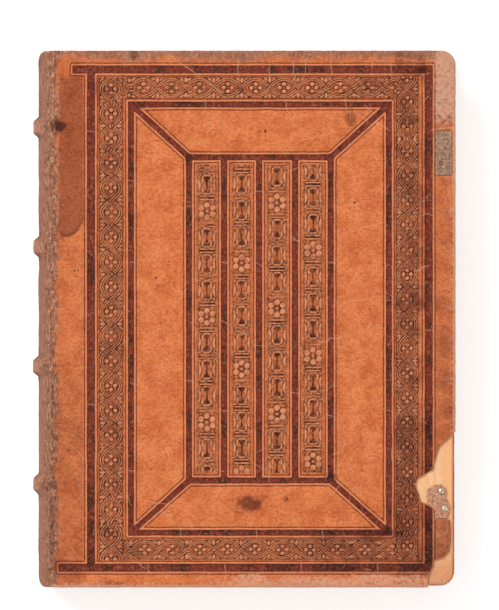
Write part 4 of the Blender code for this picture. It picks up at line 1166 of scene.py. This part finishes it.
    # wear and tears
    worn = useEffect(tree, wearEffect, place, amount=attribute(tree, "worn"), size=2.4)["Mask"]
    worn = times(tree, worn, 0.8)
    colour = mixTone(tree, worn, colour, look["worn"])
    torn = mask(tree, calc(tree, "ADD", attribute(tree, "torn"), jitter), 0.55, 0.1)
    colour = mixTone(tree, torn, colour, look["torn"])
    pale = worn
    if marks:
        waver = scaled(tree, noise(tree, place, 0.22, 2, 0.5), 5.0, -2.5)
        waver = scaled(tree, jitter, 2.2, waver)
        side = calc(tree, "ABSOLUTE", calc(tree, "ADD", waver, attribute(tree, "markSide")))
        drawn = times(tree, mask(tree, side, 0.95, 0.3), mask(tree, attribute(tree, "markGap"), 4.2, 2.4))
        broken = mask(tree, noise(tree, place, 1.1, 3, 0.7), 0.34, 0.56)
        drawn = times(tree, drawn, times(tree, broken, 0.55))
        # creases are drawn in painted shade, the other marks as pale scratches
        markDark = attribute(tree, "markDark")
        colour = mixTone(tree, drawn, colour, mixTone(tree, markDark, look["scratch"], look["grimeDeep"]))
        pale = strongest(tree, worn, times(tree, drawn, calc(tree, "SUBTRACT", 1.0, markDark)))
        # the wormholes are painted dark as the shade inside each hole, and their outlines waver
        wander = noise(tree, place, 0.9, 3, output="Color")
        wander = addNode(tree, "VectorMath", {0: wander, 1: (-0.5, -0.5, -0.5)}).outputs[0]
        near = shifted(tree, place, wander, (0.7, 0.7, 0))
        hollow = 0.0
        for middleX, middleY, size in marks["wormholes"]:
            middle = [value / mm for value in fromPhoto(middleX, middleY)]
            spot = useEffect(tree, spotEffect, near, centre=(*middle, 0), size=size)["Mask"]
            hollow = strongest(tree, hollow, spot)
        colour = mixTone(tree, hollow, colour, look["hole"])
    rough = scaled(tree, cloudy, 0.12, look["roughness"] - 0.04)
    rough = scaled(tree, ageMask, 0.14, rough)
    rough = scaled(tree, groove, -0.08, rough)
    bare = strongest(tree, pale, torn)
    height = scaled(tree, patina["Height"], 0.5, grain["Height"])
    height = scaled(tree, pressed, -0.9, height)
    if look["streaky"]:
        height = scaled(tree, streaks, 1.2, height)
    height = scaled(tree, bare, -0.35, height)
    fillNode(tree, shader, {
        "Base Color": colour, "Roughness": scaled(tree, bare, 0.22, rough),
        "Specular IOR Level": look["specular"], "Normal": bumped(tree, height, 0.16 * mm, 0.8),
    })
    return material


frontLeather = makeLeather("front_leather_finish", frontMarks)
spineLeather = makeLeather(
    "spine_leather_finish", streaky=True, roughness=0.56,
    plainDeep=tone(128, 78, 56), plainLight=tone(182, 122, 96), specks=tone(104, 62, 46),
)
backLeather = makeLeather("back_leather_finish")
print("leather finishes ready")


def makeFrontLeather():
    columns, rows = coverLines()
    form = coverForm(columns, rows)
    height, fields = frontFields(form)
    outline = [fromPhoto(*point) for point in loss["outline"]]
    split = int(np.argmin(np.abs(columns - fromPhoto(toolLines["bars"][1], 0)[0])))
    spineSide = makeCoverLeather(
        "front_leather_spine_side", form, height, fields, frontLeather, slice(0, split + 1))
    foreSide = makeCoverLeather(
        "front_leather_fore_side", form, height, fields, frontLeather, slice(split, None), outline=outline)
    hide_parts("front_cover_leather")
    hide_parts("front_cover_leather")
    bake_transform(spineSide)
    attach(foreSide, "front_cover")
    print("front leather", len(columns), len(rows), len(spineSide.data.polygons), len(foreSide.data.polygons))
    return rows


def makeBackLeather():
    form = coverForm(*coverLines(coarser=2.4))
    height, fields = backFields(form)
    piece = makeCoverLeather("back_leather", form, height, fields, backLeather, back=True)
    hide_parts("back_cover_leather")
    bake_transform(piece)
    print("back leather", len(piece.data.polygons))


spine = {
    "columns": 84,
    "wrinkle": 0.26,
    "bandWrinkle": 0.12,
    "endRound": 4.5 * mm,
    "endReach": 14 * mm,
    "radius": 24.0,  # millimetres of leather for each radian round the spine
}


def spineFields(angle, steps, baseX, baseY, flat):
    # crowns of the bands are rubbed pale, partly as a painted highlight; dirt and painted shade lie beside
    # them, and dirt in the panels
    sine = np.sin(angle)
    none = np.zeros(angle.shape)
    crown = none + bandForm(baseY, bands["base"] * 0.8, 0.4)
    slope = none + bandForm(baseY, bands["base"] * 1.35, 0.3)
    below = smoothStep(0.99, 0.25, sine)
    handled = fractalNoise(*flat, 14, 171)
    # rubbed wear on the crowns and the caps; on the crowns it is also a painted highlight
    worn = (0.3 + 0.25 * below) * crown + 0.4 * bell((steps - 3) / 3, 1.0) * (steps > 0)
    # dirt and painted shade on the sides of the bands, dirt in the panels, fading out where the spine faces
    # up
    dirt = np.clip(4 * slope * (1 - slope) * 0.75 + (0.34 + 0.5 * handled) * (1 - crown), 0, 0.9) * below
    stains = stainAndShadowField(acrossPhoto(baseX), downPhoto(baseY), 0) * (sine > 0)
    return {
        "age": none + 1, "grime": np.maximum(dirt, stains), "crusted": 1 - 0.66 * smoothStep(1.0, 0.6, sine),
        "worn": worn + 0.12 * (1 - below), "strip": none, "pressed": none + 9, "raised": none + 9,
        "lineDistance": none + 9, "lineDark": none, "torn": none + 9,
    }


def makeSpineLeather(rows):
    # from the front joint's strip round to the back one, over the bands, with a rolled cap at each end
    along, steps = wrappedLines(rows, edge["capDepth"], edge["capTurnIn"])
    baseY = np.clip(along, rows[0], rows[-1])
    bend = spineRound + bands["rise"] * bandForm(baseY)
    start = np.arccos(np.clip((spineStart - jointX + edge["strip"]) / bend, 0, 1))
    share = np.linspace(0, 1, spine["columns"])[:, None]
    angle = start * (1 - 2 * share)
    out, down = stageOffsets(stages[steps], edge["capDepth"], edge["capTurnIn"])
    cosine, sine = np.cos(angle), np.sin(angle)
    baseX = spineStart - bend * cosine
    swelling = np.where(sine > 0, bandSwelling(baseX, baseY + baseX * 0), 0)
    flat = angle * spine["radius"], along / mm + angle * 0
    wrinkles = fractalNoise(flat[0], flat[1] * 0.10, 1.9, 141) * spine["wrinkle"]
    wrinkles = wrinkles + fractalNoise(flat[0] * 0.12, flat[1], 2.2, 151) * spine["bandWrinkle"]
    wrinkles = wrinkles + fractalNoise(*flat, 16, 161) * 0.35
    seamFade = smoothStep(0, 0.05, share) * smoothStep(1, 0.95, share)
    lift = swelling + wrinkles * mm * seamFade * smoothStep(8, 3, steps)
    points = np.stack([
        spineStart - (bend - down + lift) * cosine,
        baseY + out * np.sign(along) + angle * 0,
        middleZ + (middleZ - down + lift) * sine,
    ], axis=-1)
    # the head and tail of the spine are rounded off at its outermost line
    fromOutside = np.clip(points[..., 0] - (spineStart - spineRound), 0, spine["endRound"])
    drop = spine["endRound"] - np.sqrt(spine["endRound"] ** 2 - (spine["endRound"] - fromOutside) ** 2)
    nearEnd = smoothStep(halfHeight - spine["endReach"], halfHeight, np.abs(points[..., 1]))
    points[..., 1] -= np.sign(points[..., 1]) * drop * nearEnd
    fields = spineFields(angle, steps, baseX, baseY, flat)
    fields = {label: values.reshape(-1) for label, values in fields.items()}
    hideX = jointX / mm - 3 - (start - angle) * spine["radius"]
    fields["hide"] = np.stack([hideX, flat[1], angle * 0], axis=-1).reshape(-1, 3)
    mesh = meshFrom("spine_leather_worn", points, gridFaces(*angle.shape, flip=True), fields)
    piece = addObject("spine_leather_worn", mesh, [spineLeather])
    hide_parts("spine_leather")
    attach(piece, "book_block")
    print("spine leather", len(mesh.polygons))


frontRows = makeFrontLeather()
makeBackLeather()
makeSpineLeather(frontRows)


# Boards, pegs, thongs, cloth and paper
def objectPlace(tree):
    # millimetres from the piece's own coordinates
    return stretch(tree, addNode(tree, "TexCoord").outputs["Object"], (1000, 1000, 1000))


def makeWood(name, light, dark, worn, ringSpacing, figured=0.5, corner=None):
    material, tree, shader = newMaterial(name)
    place = objectPlace(tree)
    figure = useEffect(tree, figureEffect, place, spacing=ringSpacing)
    colour = paint(tree, light, (dark, figure["Rings"], figured), (dark, figure["Pores"], figured * 0.6))
    blotches = useEffect(tree, grimeEffect, place, size=9.0, cover=0.42)["Mask"]
    colour = paint(tree, colour, (worn, blotches, 0.5))
    if corner:
        # handled edges are darker, most at the tail corner
        parts = addNode(tree, "SeparateXYZ", {0: place}).outputs
        nearSide = mask(tree, parts["X"], corner["fore"] - 8, corner["fore"] - 1)
        nearTail = mask(tree, parts["Y"], corner["tail"] + 24, corner["tail"] + 5)
        colour = paint(tree, colour, (corner["side"], nearSide, 0.6), (corner["end"], nearTail, 0.75))
    patina = useEffect(tree, patinaEffect, place, size=2.2)
    flecks = mask(tree, noise(tree, place, 0.9, 4, 0.7), 0.61, 0.68)
    colour = paint(
        tree, colour, (light, patina["Scuffs"], 0.3), (worn, patina["Pits"], 0.24),
        (tone(150, 92, 54), flecks, 0.7),
    )
    height = scaled(tree, figure["Pores"], -0.8, times(tree, figure["Rings"], 0.5))
    fillNode(tree, shader, {
        "Base Color": colour, "Roughness": scaled(tree, figure["Pores"], 0.15, 0.62),
        "Normal": bumped(tree, height, 0.15 * mm, figured + 0.1),
    })
    return material


def makeFibrous(name, light, dark, fibreSize, spots, roughness, bump):
    material, tree, shader = newMaterial(name)
    place = objectPlace(tree)
    fibre = useEffect(tree, fibreEffect, place, size=fibreSize)
    soiled = useEffect(tree, grimeEffect, place, size=30.0, cover=0.4)["Mask"]
    colour = mixTone(tree, mask(tree, fibre["Fibres"], 0.3, 0.7), dark, light)
    fillNode(tree, shader, {
        "Base Color": paint(tree, colour, (dark, fibre["Foxing"], spots), (dark, soiled, 0.4)),
        "Roughness": scaled(tree, fibre["Fibres"], 0.1, roughness),
        "Normal": bumped(tree, fibre["Fibres"], bump * mm, 0.6),
    })
    return material


boardPlaces = np.array([vertex.co for vertex in frame["nodes"]["front_board"].data.vertices]) / mm
boardCorner = {
    "fore": boardPlaces[:, 0].max(), "tail": boardPlaces[:, 1].min(),
    "side": tone(255, 168, 104), "end": tone(214, 134, 92),
}
bareWood = makeWood(
    "bare_board_wood", tone(255, 202, 148), tone(236, 162, 108), tone(246, 178, 124), 9.0, 0.36, boardCorner)
pegWood = makeWood("peg_wood", tone(196, 148, 100), tone(140, 96, 60), tone(168, 118, 76), 3.0)
sheetPaper = makeFibrous("pastedown_paper", tone(226, 208, 172), tone(178, 144, 98), 0.5, 0.75, 0.86, 0.05)
thongHide = makeFibrous("thong_hide", tone(206, 182, 140), tone(150, 118, 80), 0.9, 0.3, 0.74, 0.2)
liningCloth = makeFibrous("lining_cloth", tone(198, 182, 148), tone(146, 124, 92), 0.35, 0.3, 0.9, 0.15)

for nodeName, node in frame["nodes"].items():
    for part, material in {
        "_board": bareWood, "_peg_": pegWood, "_slip_": thongHide, "thong": thongHide,
        "lining": liningCloth, "_pastedown": sheetPaper,
    }.items():
        if part in nodeName:
            node.data.materials.clear()
            node.data.materials.append(material)
            break
print("boards, pegs, slips, cloth and paper dressed")


# Pages
pages = {
    "across": 70,
    "along": 150,
    "up": 96,
    "hollow": 5.5 * mm,
    "gathering": 3.1 * mm,
    "leafStep": 0.34,
    "ridge": 0.16,
}


def leafRidges(leafZ, run, seeds, strength):
    # millimetres by which single leaves and groups of them stand out, along a side of the pages
    leaves = valueNoise(leafZ, run / mm * 0.02, pages["leafStep"], seeds[0]) * pages["ridge"]
    return leaves + strength * fractalNoise(leafZ * 0.35, run / mm * 0.04, 1.6, seeds[1])


def makePageMaterials():
    edges, tree, shader = newMaterial("page_edges")
    place = objectPlace(tree)
    leaves = noise(tree, stretch(tree, place, (0.05, 0.05, 5.5)), 1.0, 3, 0.75)
    broad = noise(tree, stretch(tree, place, (0.02, 0.02, 0.55)), 1.0, 4, 0.6)
    dirt = useEffect(tree, grimeEffect, place, size=26.0, cover=0.4)["Mask"]
    colour = mixTone(tree, mask(tree, leaves, 0.34, 0.66), tone(190, 138, 98), tone(252, 218, 178))
    colour = paint(tree, colour, (tone(214, 160, 114), mask(tree, broad, 0.4, 0.7), 0.5))
    colour = paint(tree, colour, (tone(166, 112, 76), dirt, 0.4))
    fillNode(tree, shader, {
        "Base Color": colour, "Roughness": 0.88, "Normal": bumped(tree, leaves, 0.25 * mm, 0.9)})
    face = makeFibrous("page_face", tone(230, 214, 178), tone(186, 154, 108), 0.6, 0.7, 0.88, 0.05)
    return [edges, face]


def spineEdgeOfPages(height):
    # the rounded back of the pages, inside the linings
    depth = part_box("spine_lining_1")[0][0] - (spineStart - spineRound) + 1.1 * mm
    sine = np.clip((height - middleZ) / (middleZ - depth), -1, 1)
    return spineStart - (spineRound - depth) * np.sqrt(1 - sine ** 2)


def pagePlace(a, b, c):
    # a place in the block from its shares of the way to the fore-edge, the head and the front
    low, high = np.array(pagesLow), np.array(pagesHigh)
    y, z = low[1] + b * (high[1] - low[1]), low[2] + c * (high[2] - low[2])
    leafZ = z / mm
    foreRidge = leafRidges(leafZ, y, (201, 211), 0.25) - 0.25
    foreRidge = foreRidge - 0.22 * bell((z / pages["gathering"]) % 1 - 0.5, 0.12)
    fore = high[0] - pages["hollow"] * (1 - (2 * c - 1) ** 2)
    back = spineEdgeOfPages(z)
    x = back + a * (fore - back) + smoothStep(0.98, 1.0, a) * foreRidge * mm
    endRidge = leafRidges(leafZ, x, (221, 231), 0.22) - 0.3
    y = y + np.sign(2 * b - 1) * smoothStep(0.985, 1.0, np.abs(2 * b - 1)) * endRidge * mm
    return np.stack([x, y, z], axis=-1)


def makePages():
    across, along, up = (np.linspace(0, 1, pages[key]) for key in ("across", "along", "up"))
    sides = [  # two runs of shares, how they make a place, whether the faces turn over, and the material
        (across, along, lambda a, b: (a, b, a * 0 + 1), False, 1),
        (across, along, lambda a, b: (a, b, a * 0), True, 1),
        (along, up, lambda b, c: (b * 0 + 1, b, c), False, 0),
        (along[::6], up, lambda b, c: (b * 0, b, c), True, 0),
        (across, up, lambda a, c: (a, a * 0, c), False, 0),
        (across, up, lambda a, c: (a, a * 0 + 1, c), True, 0),
    ]
    points, faces, kinds = [], [], []
    for first, second, where, flip, kind in sides:
        grid = pagePlace(*where(*np.meshgrid(first, second, indexing="ij")))
        faces.append(gridFaces(len(first), len(second), flip, sum(len(part) for part in points)))
        points.append(grid.reshape(-1, 3))
        kinds.append(np.full(len(faces[-1]), kind, np.int32))
    mesh = meshFrom("page_leaves", np.concatenate(points), np.concatenate(faces))
    mesh.polygons.foreach_set("material_index", np.concatenate(kinds))
    cleanMesh(mesh, weld=0.01 * mm, sharpAngle=50)
    piece = addObject("page_leaves", mesh, makePageMaterials())
    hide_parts("text_block")
    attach(piece, "book_block")
    print("pages", len(mesh.polygons))


makePages()


# Endbands sewn with two colours of thread
endband = {
    "turns": 34,
    "stepsPerTurn": 7,
    "sides": 14,
    "swell": 0.16,
    "straw": tone(196, 168, 118),
    "brown": tone(120, 72, 44),
}


def makeThread():
    material, tree, shader = newMaterial("endband_thread")
    stripe = mask(tree, attribute(tree, "thread"), 0.45, 0.55)
    strands = noise(tree, objectPlace(tree), 6.0, 3, 0.7)
    colour = mixTone(tree, stripe, endband["straw"], endband["brown"])
    fillNode(tree, shader, {
        "Base Color": paint(tree, colour, (tone(96, 70, 46), mask(tree, strands, 0.45, 0.7), 0.35)),
        "Roughness": 0.82, "Normal": bumped(tree, strands, 0.06 * mm, 0.7),
    })
    return material


def makeEndbands():
    material = makeThread()
    for name in ("endband_head", "endband_tail"):
        low, high = (np.array(corner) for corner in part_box(name))
        radius = (high[1] - low[1]) / 2
        halfSpan = (high[2] - low[2]) / 2
        depth = high[0] - low[0] - 2 * radius
        share = np.linspace(-1, 1, endband["turns"] * endband["stepsPerTurn"] + 1)
        turn = np.linspace(0, 2 * math.pi, endband["sides"] + 1)
        run, around = np.meshgrid(share, turn, indexing="ij")
        slope = np.arctan2(2 * depth * run, halfSpan)
        phase = (run + 1) / 2 * endband["turns"] + around / (2 * math.pi)
        swell = 1 - endband["swell"] + endband["swell"] * np.abs(np.sin(math.pi * phase))
        size = radius * swell * np.sqrt(np.clip(1.02 - run ** 24, 0, 1))
        points = np.stack([
            low[0] + radius + depth * run ** 2 - size * np.cos(around) * np.cos(slope),
            (high[1] + low[1]) / 2 + size * np.sin(around),
            middleZ + run * (halfSpan - radius * 0.3) + size * np.cos(around) * np.sin(slope),
        ], axis=-1)
        thread = (np.floor(phase / 3) % 2).reshape(-1)
        mesh = meshFrom(f"{name}_sewn", points, gridFaces(*points.shape[:2]), {"thread": thread})
        cleanMesh(mesh, weld=0.005 * mm, outward=True)
        piece = addObject(f"{name}_sewn", mesh, [material])
        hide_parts(name)
        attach(piece, "book_block")
    print("endbands sewn")


makeEndbands()


# Strap plates and nails
metalLook = {
    "corroded": {
        "light": tone(176, 132, 104), "dark": tone(112, 84, 66), "spots": tone(206, 170, 140),
        "green": tone(120, 112, 84), "pits": tone(66, 44, 36),
    },
    "rubbed": {
        "light": tone(212, 148, 116), "dark": tone(160, 106, 80), "spots": tone(236, 190, 160),
        "green": tone(150, 112, 86), "pits": tone(104, 62, 48),
    },
}
plateVoxel = 0.2 * mm
nail = {"steps": 40, "profile": 10, "shank": 0.7 * mm, "brim": 0.94, "dent": 0.03}


def makePlateMetal(name, look):
    material, tree, shader = newMaterial(name)
    place = objectPlace(tree)
    crust = noise(tree, place, 0.9, 6, 0.7)
    verdigris = useEffect(tree, grimeEffect, place, size=2.6, cover=0.4)["Mask"]
    patina = useEffect(tree, patinaEffect, place, size=1.6)
    colour = mixTone(tree, mask(tree, crust, 0.36, 0.62), look["dark"], look["light"])
    colour = paint(
        tree, colour, (look["green"], verdigris, 0.55), (look["spots"], patina["Scuffs"], 0.7),
        (look["pits"], patina["Pits"], 0.6),
    )
    fillNode(tree, shader, {
        "Base Color": colour, "Metallic": 0.35, "Roughness": scaled(tree, crust, 0.3, 0.36),
        "Normal": bumped(tree, crust, 0.22 * mm, 0.8),
    })
    return material


def makeNailMetal():
    material, tree, shader = newMaterial("nail_metal")
    place = objectPlace(tree)
    patina = mask(tree, noise(tree, place, 1.4, 4, 0.65), 0.42, 0.62)
    fillNode(tree, shader, {
        "Base Color": mixTone(tree, patina, tone(206, 186, 160), tone(120, 98, 80)),
        "Metallic": 0.85, "Roughness": scaled(tree, patina, 0.22, 0.2),
        "Normal": bumped(tree, noise(tree, place, 3.0, 3), 0.05 * mm, 0.5),
    })
    return material


def roughenedPlate(name, node, material, bumps):
    # the plate with its surface eaten by corrosion, the bumps in millimetres
    mesh = frame["nodes"][node].data.copy()
    mesh.materials.clear()
    piece = addObject(name, mesh, [material])
    remesh = piece.modifiers.new("fine", "REMESH")
    remesh.mode = "VOXEL"
    remesh.voxel_size = plateVoxel
    fine = bpy.data.meshes.new_from_object(piece.evaluated_get(bpy.context.evaluated_depsgraph_get()))
    piece.modifiers.clear()
    piece.data = fine
    points = np.array([vertex.co for vertex in fine.vertices])
    normals = np.array([vertex.normal for vertex in fine.vertices])
    lift = bumps * fractalNoise(points[:, 0] / mm, points[:, 1] / mm, 2.4, 401, 4)
    points = points + normals * (lift - bumps * 0.5)[:, None] * mm
    fine.vertices.foreach_set("co", points.ravel())
    fine.polygons.foreach_set("use_smooth", np.full(len(fine.polygons), True))
    fine.update()
    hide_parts(node)
    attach(piece, "front_cover")
    print(name, len(fine.polygons))


def makeNails():
    material = makeNailMetal()
    for name in ("strap_nail_1", "strap_nail_2"):
        low, high = (np.array(corner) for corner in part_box(name))
        radius = (high[0] - low[0]) / 2
        middle = (low + high) / 2
        brimZ = high[2] - radius / 2
        turns = np.linspace(0, math.pi / 2, nail["profile"])
        under = [radius * nail["brim"], nail["shank"], nail["shank"], 0]
        radii = np.concatenate([radius * np.sin(turns), under])
        dome = brimZ + radius / 2 * np.cos(turns)
        heights = np.concatenate([dome, [brimZ - 0.1 * mm] * 2, [low[2]] * 2])
        spin = np.linspace(0, 2 * math.pi, nail["steps"] + 1)
        radii, around = np.meshgrid(radii, spin, indexing="ij")
        out = radii * (1 + nail["dent"] * np.sin(2 * around + 1.0))
        points = np.stack([
            middle[0] + out * np.cos(around), middle[1] + out * np.sin(around), heights[:, None] + radii * 0,
        ], axis=-1)
        mesh = meshFrom(f"{name}_domed", points, gridFaces(*points.shape[:2]))
        cleanMesh(mesh, weld=0.005 * mm, outward=True, sharpAngle=50)
        piece = addObject(f"{name}_domed", mesh, [material])
        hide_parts(name)
        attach(piece, "front_cover")
    print("nails domed")


roughenedPlate(
    "head_plate_corroded", "strap_plate_head", makePlateMetal("corroded_plate", metalLook["corroded"]), 0.16)
roughenedPlate(
    "tail_plate_rubbed", "strap_plate_tail", makePlateMetal("rubbed_plate", metalLook["rubbed"]), 0.12)
makeNails()


# Floor, light and camera
stage = {
    "floorSize": 8.0, "floorDrop": 0.3 * mm, "floorWhite": 0.8, "floorGlow": 0.54, "world": 0.56,
    "keyPlace": (-0.9, 0.9, 2.1), "keySize": 1.0, "keyPower": 27.0,
    "fillPlace": (1.6, -0.9, 1.5), "fillSize": 1.6, "fillPower": 5.0,
    "cameraHeight": 8.0, "sensor": 24.0,
}


def seenDirectly(tree):
    # 1 for what the camera sees, also in a mirror or through glass
    path = addNode(tree, "LightPath").outputs
    return strongest(tree, path["Is Camera Ray"], path["Is Glossy Ray"], path["Is Transmission Ray"])


def makeFloor():
    mesh = bpy.data.meshes.new("floor")
    size, low = stage["floorSize"] / 2, -stage["floorDrop"]
    corners = [(-size, -size, low), (size, -size, low), (size, size, low), (-size, size, low)]
    mesh.from_pydata(corners, [], [(0, 1, 2, 3)])
    material, tree, shader = newMaterial("pale_floor")
    white = (stage["floorWhite"],) * 3 + (1,)
    fillNode(tree, shader, {"Base Color": white, "Roughness": 0.9, "Specular IOR Level": 0.1})
    strength = times(tree, seenDirectly(tree), stage["floorGlow"])
    glow = addNode(tree, "Emission", {"Color": (1, 1, 1, 1), "Strength": strength}).outputs[0]
    both = addNode(tree, "AddShader", {0: shader.outputs[0], 1: glow}).outputs[0]
    under = addNode(tree, "NewGeometry").outputs["Backfacing"]
    clear = addNode(tree, "BsdfTransparent").outputs[0]
    final = addNode(tree, "MixShader", {0: under, 1: both, 2: clear}).outputs[0]
    fillNode(tree, tree.nodes["Material Output"], {"Surface": final})
    addObject("floor", mesh, [material])


def makeLights():
    for name in ("key", "fill"):
        light = bpy.data.lights.new(name, "AREA")
        light.size = stage[name + "Size"]
        light.energy = stage[name + "Power"]
        lamp = bpy.data.objects.new(name, light)
        bpy.context.scene.collection.objects.link(lamp)
        lamp.location = stage[name + "Place"]
        x, y, z = np.subtract((0, 0, 0.03), stage[name + "Place"])
        lamp.rotation_euler = (math.atan2(math.hypot(x, y), -z), 0, math.atan2(-x, y))
    world = bpy.data.worlds.new("studio")
    bpy.context.scene.world = world
    world.use_nodes = True
    tree = world.node_tree
    strength = scaled(tree, seenDirectly(tree), 1 - stage["world"], stage["world"])
    fillNode(tree, tree.nodes["Background"], {"Color": (1, 1, 1, 1), "Strength": strength})
    bpy.context.scene.view_settings.view_transform = "Standard"


def makeCamera():
    # straight above, so that the cover's face fills the frame as in the photograph
    camera = bpy.data.cameras.new("camera")
    camera.sensor_fit = "VERTICAL"
    camera.sensor_height = stage["sensor"]
    camera.lens = stage["sensor"] * (stage["cameraHeight"] - bookTop) / (photo["height"] * pixel)
    obj = bpy.data.objects.new("camera", camera)
    bpy.context.scene.collection.objects.link(obj)
    middle = fromPhoto((photo["width"] - 1) / 2, (photo["height"] - 1) / 2)
    obj.location = (*middle, stage["cameraHeight"])
    bpy.context.scene.camera = obj


makeFloor()
makeLights()
makeCamera()
print("stage ready")
